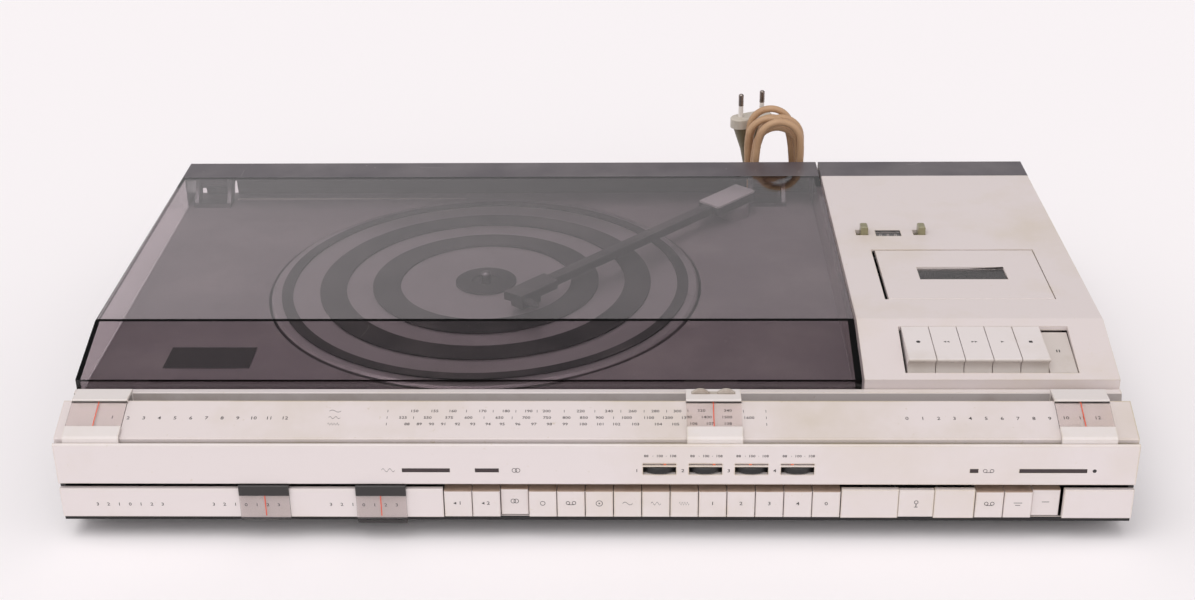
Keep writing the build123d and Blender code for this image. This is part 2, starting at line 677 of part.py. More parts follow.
# --------------------------------------------------------------------------- cassette well
DOOR_AXIS_Y = BAY_FRONT + BAY_DEPTH - DOOR_PIN_INSET
DOOR_AXIS_Z = HEIGHT - DOOR_PIN_DROP
WELL_LEFT = BAY_LEFT - BAY_WALL
WELL_RIGHT = BAY_LEFT + BAY_WIDTH + BAY_WALL
WELL_FRONT = BAY_FRONT - BAY_WALL
WELL_REAR = BAY_FRONT + BAY_DEPTH + BAY_WALL + 2
WELL_TOP = HEIGHT - WALL
BAY_CENTRE = BAY_LEFT + BAY_WIDTH / 2
REEL_Y = BAY_FRONT + 36.0
FLYWHEEL_RADIUS = 28.0
BRACKET_THICK = 3.0

with BuildPart() as cassette_well:
    block((WELL_LEFT, WELL_RIGHT), (WELL_FRONT, WELL_REAR), (BAY_FLOOR - BAY_WALL, WELL_TOP))
    block(
        (BAY_LEFT, BAY_LEFT + BAY_WIDTH),
        (BAY_FRONT, WELL_REAR - BAY_WALL),
        (BAY_FLOOR, WELL_TOP),
        Mode.SUBTRACT,
    )
    rod_along_x(WELL_LEFT, WELL_RIGHT, DOOR_AXIS_Y, DOOR_AXIS_Z, DOOR_PIN)
    for reel_x in (BAY_CENTRE - REEL_SPACING / 2, BAY_CENTRE + REEL_SPACING / 2):
        post(reel_x, REEL_Y, BAY_FLOOR, BAY_FLOOR + 1.5, REEL_RADIUS + 2)
        post(reel_x, REEL_Y, BAY_FLOOR + 1.5, BAY_FLOOR + 8.0, REEL_RADIUS)
    for block_x, block_width, block_top in ((0.0, 16.0, 6.0), (-24.0, 12.0, 5.0), (26.0, 10.0, 6.0)):
        block(
            (BAY_CENTRE + block_x - block_width / 2, BAY_CENTRE + block_x + block_width / 2),
            (BAY_FRONT + 0.5, BAY_FRONT + 6.5),
            (BAY_FLOOR, BAY_FLOOR + block_top),
        )
    for bracket_x in (KEYWELL_LEFT - BRACKET_THICK, KEYWELL_RIGHT):
        profile_along_x(
            [
                (WELL_FRONT, BAY_FLOOR - BAY_WALL),
                (WELL_FRONT, PIANO_PIVOT_Z + 5),
                (PIANO_PIVOT_Y - 5, PIANO_PIVOT_Z + 5),
                (PIANO_PIVOT_Y - 5, PIANO_PIVOT_Z - 5),
            ],
            bracket_x,
            bracket_x + BRACKET_THICK,
        )
    rod_along_x(
        KEYWELL_LEFT - BRACKET_THICK,
        KEYWELL_RIGHT + BRACKET_THICK,
        PIANO_PIVOT_Y,
        PIANO_PIVOT_Z,
        PIANO_ROD,
    )

with BuildPart() as tape_motor:
    post(WELL_LEFT + 24, WELL_REAR - 22, BAY_FLOOR - BAY_WALL - 30, BAY_FLOOR - BAY_WALL, 15.0)
with BuildPart() as flywheel:
    flywheel_x, flywheel_y, flywheel_top = BAY_CENTRE + 20, BAY_FRONT + 34, BAY_FLOOR - BAY_WALL - 4
    post(flywheel_x, flywheel_y, flywheel_top - 10, flywheel_top, FLYWHEEL_RADIUS)
    post(flywheel_x, flywheel_y, flywheel_top, BAY_FLOOR - BAY_WALL - SEAT_GAP, 4.0)
save("cassette_well", cassette_well.part, tape_motor.part, flywheel.part)

# --------------------------------------------------------------------------- cassette door
DOOR_LEFT = BAY_LEFT + DOOR_LEFT_GAP
DOOR_RIGHT = BAY_LEFT + BAY_WIDTH - DOOR_GAP
DOOR_FRONT = BAY_FRONT + DOOR_GAP
DOOR_BACK = BAY_FRONT + BAY_DEPTH - DOOR_GAP
PANE_LEFT = BAY_LEFT + 26.9
PANE_WIDTH = 58.0
PANE_FRONT = BAY_FRONT + 29.8
PANE_DEPTH = 19.0
DOOR_HUB = 3.2
door_outline = [
    (DOOR_FRONT, HEIGHT - WALL),
    (DOOR_FRONT, HEIGHT - EDGE),
    (DOOR_FRONT + EDGE, HEIGHT),
    (DOOR_BACK - 1.0, HEIGHT),
    (DOOR_BACK, HEIGHT - 1.0),
    (DOOR_BACK, HEIGHT - 2.0),
    (DOOR_BACK - 1.0, HEIGHT - WALL),
]
with BuildPart() as cassette_door:
    profile_along_x(door_outline, DOOR_LEFT, DOOR_RIGHT)
    block(
        (PANE_LEFT, PANE_LEFT + PANE_WIDTH),
        (PANE_FRONT, PANE_FRONT + PANE_DEPTH),
        (HEIGHT - WALL, HEIGHT),
        Mode.SUBTRACT,
    )
    for ear_left in (DOOR_LEFT + 3, DOOR_RIGHT - 3 - DOOR_EAR):
        block(
            (ear_left, ear_left + DOOR_EAR),
            (DOOR_AXIS_Y - DOOR_HUB, DOOR_AXIS_Y + DOOR_HUB - 1.2),
            (DOOR_AXIS_Z, HEIGHT - WALL),
        )
        rod_along_x(ear_left, ear_left + DOOR_EAR, DOOR_AXIS_Y, DOOR_AXIS_Z, DOOR_HUB)
    rod_along_x(
        DOOR_LEFT, DOOR_RIGHT, DOOR_AXIS_Y, DOOR_AXIS_Z, DOOR_PIN + PIN_PLAY, Mode.SUBTRACT
    )
with BuildPart() as door_pane:
    block(
        (PANE_LEFT + 0.1, PANE_LEFT + PANE_WIDTH - 0.1),
        (PANE_FRONT + 0.1, PANE_FRONT + PANE_DEPTH - 0.1),
        (HEIGHT - 2.6, HEIGHT - 1.2),
    )
save("cassette_door", cassette_door.part, door_pane.part)

# --------------------------------------------------------------------------- piano keys
KEY_BACK_Y = KEYWELL_BACK - GAP - PIANO_PIVOT_Y
KEY_BACK_Z = facet_top(KEYWELL_BACK) - PIANO_PIVOT_Z + 0.1
KEY_LIP_Y = KEYWELL_FRONT + 1.1 - PIANO_PIVOT_Y
KEY_LIP_Z = KEY_BACK_Z - 2.8
KEY_FOOT_Z = -8.0
KEY_ARM_TOP = 3.0
KEY_ARM_BOTTOM = -4.0


def piano_key(key_left, pressed_by):
    """One key lever of the cassette deck, tipped about the pivot rod by an angle in degrees."""
    turn = radians(pressed_by)
    side = Plane(
        origin=(key_left, PIANO_PIVOT_Y, PIANO_PIVOT_Z),
        x_dir=(0, cos(turn), sin(turn)),
        z_dir=(1, 0, 0),
    )
    width = PIANO_KEY_PITCH - PIANO_KEY_GAP
    with BuildPart() as key:
        with BuildSketch(side):
            with BuildLine():
                Polyline(
                    (KEY_LIP_Y - 0.1, KEY_FOOT_Z + 3.2),
                    (KEY_LIP_Y + 1.0, KEY_FOOT_Z),
                    (KEY_LIP_Y + 6.0, KEY_FOOT_Z),
                    (KEY_LIP_Y + 12.0, KEY_ARM_BOTTOM),
                    (0, KEY_ARM_BOTTOM),
                    (0, KEY_ARM_TOP),
                    (KEY_BACK_Y, KEY_ARM_TOP),
                    (KEY_BACK_Y, KEY_BACK_Z),
                    (KEY_LIP_Y + 0.8, KEY_LIP_Z),
                )
                ThreePointArc(
                    (KEY_LIP_Y + 0.8, KEY_LIP_Z),
                    (KEY_LIP_Y, KEY_LIP_Z - 1.0),
                    (KEY_LIP_Y + 0.9, KEY_LIP_Z - 2.1),
                )
                ThreePointArc(
                    (KEY_LIP_Y + 0.9, KEY_LIP_Z - 2.1),
                    (KEY_LIP_Y + 3.0, KEY_LIP_Z - 5.8),
                    (KEY_LIP_Y - 0.1, KEY_FOOT_Z + 3.2),
                )
            make_face()
        extrude(amount=width)
        with BuildSketch(side):
            Circle(PIANO_HUB)
        extrude(amount=width)
        with BuildSketch(side):
            Circle(PIANO_ROD + PIN_PLAY)
        extrude(amount=width, mode=Mode.SUBTRACT)
    return key.part


for index, key_name in enumerate(PIANO_KEYS):
    left_side = KEYWELL_LEFT + KEYWELL_SIDE_GAP + index * PIANO_KEY_PITCH + PIANO_KEY_GAP / 2
    save(key_name, piano_key(left_side, PIANO_PRESS if key_name == "pause_key" else 0.0))

# =========================================================================== front keys
def push_key(key_left, latched):
    """One square key of the front row, with the stem that runs into its switch bank."""
    shift = KEY_LATCH if latched else 0.0
    front = FRONT + shift
    middle = key_left + KEY_PITCH / 2
    with BuildPart() as key:
        block(
            (key_left + KEY_GAP / 2, key_left + KEY_PITCH - KEY_GAP / 2),
            (front, front + KEY_DEPTH),
            (KEY_BOTTOM, KEY_TOP),
        )
        chamfer(key.faces().sort_by(Axis.Y)[0].edges(), EDGE)
        block(
            (middle - STEM_WIDTH / 2, middle + STEM_WIDTH / 2),
            (front + KEY_DEPTH, front + KEY_DEPTH + STEM_LENGTH),
            (STEM_Z - STEM_HEIGHT / 2, STEM_Z + STEM_HEIGHT / 2),
        )
    return key.part


def switch_bank(first_left, count):
    """Housing of a row of push switches, with one slot for each stem."""
    with BuildPart() as bank:
        block(
            (first_left - 2, first_left + count * KEY_PITCH + 2),
            (BANK_FRONT, BANK_FRONT + BANK_DEPTH),
            (BANK_BOTTOM, BANK_TOP),
        )
        for number in range(count):
            stem_x = first_left + (number + 0.5) * KEY_PITCH
            block(
                (stem_x - STEM_WIDTH / 2 - GAP, stem_x + STEM_WIDTH / 2 + GAP),
                (BANK_FRONT, BANK_FRONT + BANK_DEPTH),
                (STEM_Z - STEM_HEIGHT / 2 - GAP, STEM_Z + STEM_HEIGHT / 2 + GAP),
                Mode.SUBTRACT,
            )
        for foot_x in (first_left, first_left + count * KEY_PITCH - 4):
            block(
                (foot_x, foot_x + 4),
                (BANK_FRONT + 3, BANK_FRONT + BANK_DEPTH),
                (TRAY_FLOOR, BANK_BOTTOM),
            )
    return bank.part


for index, key_name in enumerate(SOURCE_KEYS):
    save(key_name, push_key(KEY_LEFT + index * KEY_PITCH, key_name in LATCHED_KEYS))
for index, key_name in enumerate(TAPE_KEYS):
    save(key_name, push_key(TAPE_KEY_LEFT + index * KEY_PITCH, key_name in LATCHED_KEYS))

# --------------------------------------------------------------------------- microphone flap
with BuildPart() as mic_flap:
    with BuildSketch(Plane.YZ.offset(FLAP_LEFT)):
        with Locations((FLAP_AXIS_Y, FLAP_AXIS_Z)):
            Circle(FLAP_THICK / 2)
        with BuildLine():
            Polyline(
                (FRONT, FLAP_AXIS_Z),
                (FRONT, STRIP_TOP - GAP - EDGE),
                (FRONT + EDGE, STRIP_TOP - GAP),
                (FRONT + FLAP_THICK, STRIP_TOP - GAP),
                (FRONT + FLAP_THICK, FLAP_AXIS_Z),
                close=True,
            )
        make_face()
    extrude(amount=FLAP_WIDTH)
    rod_along_x(
        FLAP_LEFT - FLAP_PIN_LENGTH,
        FLAP_LEFT + FLAP_WIDTH + FLAP_PIN_LENGTH,
        FLAP_AXIS_Y,
        FLAP_AXIS_Z,
        FLAP_PIN,
    )
save("mic_flap", mic_flap.part)

# =========================================================================== sliders
PANE_TOP_Y = DIAL_BACK - 2.5
PANE_LOW_Y = DIAL_EDGE + 6.4
HEADER_Z = dial_top(DIAL_BACK) + 0.5
RIDGE_FRONT = RIDGE_BACK - RIDGE_WIDTH
FOOT_FRONT = CHANNEL_FRONT + 0.8
FOOT_BACK = RIDGE_FRONT - 3.5
HEADER_BACK = RIDGE_FRONT - 7.2
WEB_BACK = FOOT_BACK - 4.9
PANE_LIFT = 0.45
NOSE_FRONT = FRONT + BAND_LIP + SEAT_GAP


def over_dial(y, height):
    """Height of a point that stands a given distance above the dial plate."""
    return dial_top(y) + PANE_LIFT + height


def dial_slider(slider_left, width, wheels):
    """Slider that rides in the channel and hooks over the dial plate's front edge."""
    slider_right = slider_left + width
    header_top = HEADER_Z + SLIDER_HEADER
    carrier = [
        (HEADER_BACK, HEADER_Z),
        (HEADER_BACK, header_top - 0.4),
        (HEADER_BACK - 0.4, header_top),
        (PANE_TOP_Y + 0.5, header_top),
        (PANE_TOP_Y, header_top - 0.5),
        (PANE_TOP_Y, over_dial(PANE_TOP_Y, 0.2)),
        (DIAL_BACK + 0.2, HEADER_Z),
        (WEB_BACK - 2.0, HEADER_Z),
        (WEB_BACK - 2.0, RAIL_FLOOR + 3.0),
        (FOOT_FRONT, RAIL_FLOOR + 3.0),
        (FOOT_FRONT, RAIL_FLOOR + GAP),
        (FOOT_BACK, RAIL_FLOOR + GAP),
        (FOOT_BACK, RAIL_FLOOR + 3.0),
        (WEB_BACK, RAIL_FLOOR + 3.0),
        (WEB_BACK, HEADER_Z),
    ]
    pane = [
        (PANE_LOW_Y, over_dial(PANE_LOW_Y, 0)),
        (PANE_TOP_Y, over_dial(PANE_TOP_Y, 0)),
        (PANE_TOP_Y, over_dial(PANE_TOP_Y, SLIDER_PANE)),
        (PANE_LOW_Y, over_dial(PANE_LOW_Y, SLIDER_PANE)),
    ]
    nose_inner = DIAL_EDGE - 0.5
    nose = [
        (PANE_LOW_Y, over_dial(PANE_LOW_Y, 0)),
        (PANE_LOW_Y, over_dial(PANE_LOW_Y, SLIDER_PANE + 0.3)),
        (PANE_LOW_Y - 0.4, over_dial(PANE_LOW_Y - 0.4, SLIDER_PANE + 0.7)),
        (NOSE_FRONT + 1.2, over_dial(NOSE_FRONT + 1.2, SLIDER_PANE + 0.7)),
        (NOSE_FRONT, over_dial(NOSE_FRONT, SLIDER_PANE - 0.4)),
        (NOSE_FRONT, BAND_SHOULDER + 4.0),
        (nose_inner, BAND_SHOULDER + 4.0),
        (nose_inner, over_dial(nose_inner, 0)),
    ]
    with BuildPart() as carrier_part:
        profile_along_x(carrier, slider_left, slider_right)
        if wheels:
            for side in (-0.5, 0.5):
                wheel_x = (slider_left + slider_right) / 2 + side * TUNING_WHEEL_SPACING
                block(
                    (wheel_x - 5.4, wheel_x + 5.4),
                    (WEB_BACK - 5.4, WEB_BACK - 2.0),
                    (HEADER_Z, header_top),
                    Mode.SUBTRACT,
                )
    with BuildPart() as pane_part:
        profile_along_x(pane, slider_left, slider_right)
    with BuildPart() as nose_part:
        profile_along_x(nose, slider_left, slider_right)
    pieces = [carrier_part.part, pane_part.part, nose_part.part]
    if wheels:
        for side in (-0.5, 0.5):
            wheel_x = (slider_left + slider_right) / 2 + side * TUNING_WHEEL_SPACING
            with BuildPart() as wheel:
                wheel_z, wheel_back = HEADER_Z - 2.2, WEB_BACK - 2.3
                rod_along_y(wheel_x, wheel_z, wheel_back - TUNING_WHEEL_WIDTH, wheel_back, TUNING_WHEEL)
                chamfer(wheel.edges().filter_by(GeomType.CIRCLE), 0.5)
            pieces.append(wheel.part)
    return pieces


for slider_name, slider_left, slider_width in TOP_SLIDERS:
    save(slider_name, *dial_slider(slider_left, slider_width, slider_name == "tuning_slider"))


def tone_slider(slider_left, width, bar_height):
    """Slider in the slot above the lower strip, with a clear pane that hangs over the strip."""
    slider_right = slider_left + width
    pane_front = FRONT - WINDOW_PROUD
    pane_back = FRONT - SEAT_GAP
    header_bottom = STRIP_TOP - TONE_HEADER + 2.9
    arm_top = STRIP_TOP + STRIP_SLOT - GAP
    header = [
        (pane_front + EDGE, arm_top),
        (pane_front, arm_top - EDGE),
        (pane_front, header_bottom),
        (pane_back, header_bottom),
        (pane_back, STRIP_TOP + GAP),
        (FRONT + WALL + GAP, STRIP_TOP + GAP),
        (FRONT + WALL + GAP, STRIP_TOP - 6),
        (FRONT + WALL + GAP + 2.6, STRIP_TOP - 6),
        (FRONT + WALL + GAP + 2.6, arm_top),
    ]
    with BuildPart() as header_part:
        profile_along_x(header, slider_left, slider_right)
    with BuildPart() as pane_part:
        block((slider_left, slider_right), (pane_front, pane_back), (TONE_PANE_BOTTOM, header_bottom))
    pieces = [header_part.part, pane_part.part]
    if bar_height:
        with BuildPart() as bar_part:
            block(
                (slider_left, slider_right),
                (pane_front, pane_back),
                (TONE_PANE_BOTTOM - bar_height, TONE_PANE_BOTTOM),
            )
        pieces.append(bar_part.part)
    return pieces


for slider_name, slider_left, slider_width, bar in TONE_SLIDERS:
    save(slider_name, *tone_slider(slider_left, slider_width, bar))

# --------------------------------------------------------------------------- preset wheels
WHEEL_Y = FRONT + PRESET_WHEEL - PRESET_WHEEL_PROUD
PRESET_RAIL_TOP = PRESET_WHEEL_Z - PRESET_WHEEL_THICK / 2 - GAP
for index, slot_left in enumerate(PRESET_LEFTS):
    wheel_x = slot_left + PRESET_SLOT / 2
    wheel_low = PRESET_WHEEL_Z - PRESET_WHEEL_THICK / 2
    with BuildPart() as preset_wheel:
        post(wheel_x, WHEEL_Y, wheel_low, wheel_low + PRESET_WHEEL_THICK, PRESET_WHEEL)
        chamfer(preset_wheel.edges().filter_by(GeomType.CIRCLE), 0.6)
        bore = PRESET_PIN + PIN_PLAY
        post(wheel_x, WHEEL_Y, wheel_low, wheel_low + PRESET_WHEEL_THICK, bore, Mode.SUBTRACT)
    save(f"program_wheel_{index + 1}", preset_wheel.part)

    pointer_x = PRESET_POINTERS[index]
    pointer_back = FRONT + WALL + SEAT_GAP
    with BuildPart() as pointer:
        block(
            (pointer_x - POINTER_WIDTH / 2, pointer_x + POINTER_WIDTH / 2),
            (FRONT + 0.2, pointer_back + 1),
            (POINTER_Z - POINTER_THICK / 2, POINTER_Z + POINTER_THICK / 2),
        )
        block(
            (pointer_x - POINTER_RUNNER / 2, pointer_x + POINTER_RUNNER / 2),
            (pointer_back, pointer_back + POINTER_RUNNER_DEPTH),
            (POINTER_Z - 1.0, POINTER_Z + 2.5),
        )
    save(f"program_pointer_{index + 1}", pointer.part)

# =========================================================================== record player
WELL_RADIUS = PLATTER_RADIUS + WELL_GAP
WELL_FLOOR_TOP = CASE_TOP - WELL_DEPTH + WALL
WELL_FLOOR_BOTTOM = WELL_FLOOR_TOP - WALL
PULLEY_X = PLATTER_X + PULLEY_REACH * cos(radians(PULLEY_ANGLE))
PULLEY_Y = PLATTER_Y + PULLEY_REACH * sin(radians(PULLEY_ANGLE))
DECK_PANEL = (LEFT + 44.7, LEFT + 100.4, FRONT + 87.6, FRONT + 116.2)
PANEL_THICK = 1.2

with BuildPart() as turntable_plate:
    block((LEFT, DECK_LEFT - 0.3), (RIDGE_BACK + 0.2, BACK), (CASE_TOP, DECK_TOP))
    post(PLATTER_X, PLATTER_Y, WELL_FLOOR_BOTTOM, DECK_TOP, WELL_RADIUS + 2)
    post(PLATTER_X, PLATTER_Y, WELL_FLOOR_TOP, DECK_TOP, WELL_RADIUS, Mode.SUBTRACT)
    post(PLATTER_X, PLATTER_Y, WELL_FLOOR_BOTTOM - BEARING_DEPTH, WELL_FLOOR_BOTTOM, BEARING_BOSS)
    post(
        PLATTER_X,
        PLATTER_Y,
        WELL_FLOOR_BOTTOM - BEARING_DEPTH + 3,
        WELL_FLOOR_TOP,
        BEARING_SHAFT + PIN_PLAY,
        Mode.SUBTRACT,
    )
    post(PULLEY_X, PULLEY_Y, WELL_FLOOR_BOTTOM, WELL_FLOOR_TOP, PULLEY_RADIUS, Mode.SUBTRACT)
    block(DECK_PANEL[:2], DECK_PANEL[2:], (DECK_TOP - PANEL_THICK, DECK_TOP), Mode.SUBTRACT)
    split(bisect_by=Plane.XZ.offset(-(RIDGE_BACK + 0.2)), keep=Keep.TOP)

with BuildPart() as deck_panel:
    block(
        (DECK_PANEL[0] + 0.3, DECK_PANEL[1] - 0.3),
        (DECK_PANEL[2] + 0.3, DECK_PANEL[3] - 0.3),
        (DECK_TOP - PANEL_THICK, DECK_TOP + 0.3),
    )
save("turntable_plate", turntable_plate.part, deck_panel.part)

# --------------------------------------------------------------------------- platter
PLATTER_UNDER = PLATTER_TOP - PLATTER_WEB
SHAFT_BOTTOM = WELL_FLOOR_BOTTOM - BEARING_DEPTH + 3 + SEAT_GAP
with BuildPart() as platter:
    with BuildSketch(Plane.XZ):
        with BuildLine():
            Polyline(
                (0, SHAFT_BOTTOM),
                (BEARING_SHAFT, SHAFT_BOTTOM),
                (BEARING_SHAFT, PLATTER_UNDER - SUB_PLATTER_HEIGHT),
                (SUB_PLATTER_RADIUS, PLATTER_UNDER - SUB_PLATTER_HEIGHT),
                (SUB_PLATTER_RADIUS, PLATTER_UNDER),
                (PLATTER_RADIUS - SKIRT_WALL, PLATTER_UNDER),
                (PLATTER_RADIUS - SKIRT_WALL, PLATTER_TOP - SKIRT_DEPTH),
                (PLATTER_RADIUS, PLATTER_TOP - SKIRT_DEPTH),
                (PLATTER_RADIUS, PLATTER_TOP - 1.5),
                (PLATTER_RADIUS - 1.5, PLATTER_TOP),
                (SPINDLE_RADIUS, PLATTER_TOP),
                (SPINDLE_RADIUS, PLATTER_TOP + SPINDLE_RISE - 1.5),
                (SPINDLE_RADIUS - 1.5, PLATTER_TOP + SPINDLE_RISE),
                (0, PLATTER_TOP + SPINDLE_RISE),
                close=True,
            )
        make_face()
        for ring_inner, ring_outer in MAT_RINGS:
            with Locations(((ring_inner + ring_outer) / 2, PLATTER_TOP - MAT_GROOVE / 2)):
                Rectangle(ring_outer - ring_inner, MAT_GROOVE, mode=Mode.SUBTRACT)
    revolve(axis=Axis.Z)
with BuildPart() as mat:
    with BuildSketch(Plane.XZ):
        for ring_inner, ring_outer in MAT_RINGS:
            with Locations(((ring_inner + ring_outer) / 2, PLATTER_TOP - MAT_GROOVE / 2 + MAT_RISE / 2)):
                Rectangle(ring_outer - ring_inner, MAT_GROOVE + MAT_RISE)
    revolve(axis=Axis.Z)
PLATTER_SPOT = Pos(PLATTER_X, PLATTER_Y, 0)
save("platter", PLATTER_SPOT * platter.part, PLATTER_SPOT * mat.part)

# --------------------------------------------------------------------------- motor pulley
PULLEY_TOP = PLATTER_UNDER - 1.0
PULLEY_LOW = PLATTER_UNDER - SUB_PLATTER_HEIGHT
with BuildPart() as motor_pulley:
    post(PULLEY_X, PULLEY_Y, PULLEY_LOW, PULLEY_TOP, PULLEY_RADIUS - 0.8)
    post(PULLEY_X, PULLEY_Y, WELL_FLOOR_BOTTOM - 8, PULLEY_LOW, MOTOR_SHAFT)
save("motor_pulley", motor_pulley.part)

# --------------------------------------------------------------------------- tone arm
STYLUS_LENGTH = 1.0
CARTRIDGE_HEIGHT = 5.5
HEAD_LENGTH = 30.0
CARTRIDGE_LENGTH = 17.0
arm_plane = Plane(
    origin=(ARM_X, ARM_Y, ARM_Z - ARM_HEIGHT / 2),
    x_dir=(cos(radians(ARM_ANGLE)), sin(radians(ARM_ANGLE)), 0),
    z_dir=(0, 0, 1),
)


def on_arm(along, across, height):
    """Plane on the tone arm, at a place along and across it and above its underside."""
    spot = arm_plane.from_local_coords((along, across, height))
    return Plane(origin=spot, x_dir=arm_plane.x_dir, z_dir=arm_plane.z_dir)


TUBE_START = 5.0
with BuildPart() as tonearm_body:
    with BuildSketch(on_arm(ARM_HOUSING_LENGTH / 2 - ARM_HOUSING_BACK, 0, 0)):
        RectangleRounded(ARM_HOUSING_LENGTH, ARM_HOUSING_WIDTH, 2)
    extrude(amount=ARM_HEIGHT)
    with BuildSketch(on_arm((TUBE_START + ARM_REACH - HEAD_LENGTH) / 2, 0, 0)):
        Rectangle(ARM_REACH - HEAD_LENGTH - TUBE_START, ARM_WIDTH)
    extrude(amount=ARM_HEIGHT)
    with BuildSketch(on_arm(ARM_REACH - HEAD_LENGTH / 2 + 4, 0, 0)):
        Trapezoid(HEAD_LENGTH + 8, 15, 82)
    extrude(amount=ARM_HEIGHT)
    with BuildSketch(on_arm(0, 0, 0)):
        Circle(ARM_PIN + PIN_PLAY)
    extrude(amount=ARM_HEIGHT - 1.5, mode=Mode.SUBTRACT)
with BuildPart() as arm_cap:
    with BuildSketch(on_arm(ARM_HOUSING_LENGTH / 2 - ARM_HOUSING_BACK, 0, ARM_HEIGHT)):
        RectangleRounded(ARM_HOUSING_LENGTH - 1, ARM_HOUSING_WIDTH - 1, 1.5)
    extrude(amount=1.2)
with BuildPart() as cartridge:
    with BuildSketch(on_arm(ARM_REACH - 5, 0, 0)):
        Rectangle(CARTRIDGE_LENGTH, 11)
    extrude(amount=-CARTRIDGE_HEIGHT)
    with BuildSketch(on_arm(ARM_REACH, 0, -CARTRIDGE_HEIGHT)):
        Rectangle(2.0, 1.2)
    extrude(amount=-STYLUS_LENGTH)
with BuildPart() as finger_lift:
    with BuildSketch(on_arm(ARM_REACH + 2, 12.5, 1.0)):
        SlotOverall(14, 5, rotation=80)
    extrude(amount=1.6)
save("tonearm", tonearm_body.part, arm_cap.part, cartridge.part, finger_lift.part)

with BuildPart() as tonearm_base:
    post(ARM_X, ARM_Y, DECK_TOP, ARM_Z - ARM_HEIGHT / 2 - SEAT_GAP, ARM_TURRET)
    chamfer(tonearm_base.faces().sort_by(Axis.Z)[-1].edges(), 1.0)
    post(ARM_X, ARM_Y, DECK_TOP, ARM_Z + ARM_HEIGHT / 2 - 2.0, ARM_PIN)
save("tonearm_base", tonearm_base.part)

# --------------------------------------------------------------------------- hinges
HINGE_CENTRES = (LEFT + HINGE_LEFT_INSET, LID_RIGHT - HINGE_RIGHT_INSET)
CHEEK_FOOT = 3.0
with BuildPart() as hinge_brackets:
    for hinge_x in HINGE_CENTRES:
        for side in (-1, 1):
            inner = hinge_x + side * (HINGE_EAR / 2 + GAP)
            outer = inner + side * HINGE_CHEEK
            low, high = min(inner, outer), max(inner, outer)
            with BuildSketch(Plane.YZ.offset(low)):
                with Locations((HINGE_Y, HINGE_Z)):
                    Circle(HINGE_BOSS)
                Polygon(
                    (HINGE_Y - 18, DECK_TOP),
                    (HINGE_Y - 4, DECK_TOP),
                    (HINGE_Y + HINGE_BOSS - 0.6, HINGE_Z - 2),
                    (HINGE_Y - HINGE_BOSS + 0.6, HINGE_Z + 2),
                    align=(Align.NONE, Align.NONE),
                )
            extrude(amount=high - low)
        half = HINGE_EAR / 2 + GAP + HINGE_CHEEK
        block(
            (hinge_x - half, hinge_x + half),
            (HINGE_Y - 18, HINGE_Y - 8),
            (DECK_TOP, DECK_TOP + CHEEK_FOOT),
        )
        rod_along_x(hinge_x - half, hinge_x + half, HINGE_Y, HINGE_Z, HINGE_PIN)
save("hinge_brackets", hinge_brackets.part)

# --------------------------------------------------------------------------- lid
LID_EDGE = DECK_TOP + LID_REST
corner_start = HINGE_Y - sqrt(LID_CORNER_RADIUS**2 - (HINGE_Z - LID_EDGE) ** 2)
corner_end = HINGE_Z - sqrt(LID_CORNER_RADIUS**2 - (BACK - HINGE_Y) ** 2)
corner_middle = radians(-62.0)
lid_crease = crease_under(LID_WALL)
lid_inner = [
    (LIP + LID_LIP_WALL, LID_EDGE - 1),
    (LIP + LID_LIP_WALL, facet_under(LIP + LID_LIP_WALL, LID_WALL)),
    (lid_crease, HEIGHT - LID_WALL),
    (BACK - LID_WALL, HEIGHT - LID_WALL),
    (BACK - LID_WALL, LID_EDGE - 1),
]


def lid_shell():
    """Whole lid, before it is cut into its clear front and its dark rear strip."""
    with BuildPart() as shell:
        with BuildSketch(Plane.YZ.offset(LEFT)):
            with BuildLine():
                Polyline(
                    (corner_start, LID_EDGE),
                    (LIP, LID_EDGE),
                    (LIP, LIP_TOP),
                    (CREASE, HEIGHT),
                    (BACK, HEIGHT),
                    (BACK, corner_end),
                )
                ThreePointArc(
                    (BACK, corner_end),
                    (
                        HINGE_Y + LID_CORNER_RADIUS * cos(corner_middle),
                        HINGE_Z + LID_CORNER_RADIUS * sin(corner_middle),
                    ),
                    (corner_start, LID_EDGE),
                )
            make_face()
        extrude(amount=LID_RIGHT - LEFT)
        chamfer(shell.faces().sort_by(Axis.Z)[-1].edges().filter_by(Axis.Y), EDGE)
        profile_along_x(lid_inner, LEFT + LID_WALL, LID_RIGHT - LID_SEAM_WALL, Mode.SUBTRACT)
        block(
            (LEFT + LID_WALL, LID_RIGHT - LID_SEAM_WALL),
            (BACK - LID_WALL - 1, BACK + 1),
            (DECK_TOP, LID_TAIL_BOTTOM),
            Mode.SUBTRACT,
        )
    return shell.part


STRIP_JOINT = BACK - REAR_STRIP
whole_lid = lid_shell()
with BuildPart() as lid_clear:
    add(whole_lid)
    split(bisect_by=Plane.XZ.offset(-STRIP_JOINT), keep=Keep.TOP)
with BuildPart() as lid_tail:
    add(whole_lid)
    split(bisect_by=Plane.XZ.offset(-STRIP_JOINT), keep=Keep.BOTTOM)
    for hinge_x in HINGE_CENTRES:
        ear_left, ear_right = hinge_x - HINGE_EAR / 2, hinge_x + HINGE_EAR / 2
        block(
            (ear_left, ear_right),
            (HINGE_Y - HINGE_BOSS, HINGE_Y + HINGE_BOSS),
            (HINGE_Z, HEIGHT - LID_WALL),
        )
        rod_along_x(ear_left, ear_right, HINGE_Y, HINGE_Z, HINGE_BOSS)
        rod_along_x(ear_left, ear_right, HINGE_Y, HINGE_Z, HINGE_PIN + PIN_PLAY, Mode.SUBTRACT)
save("lid", lid_clear.part, lid_tail.part)

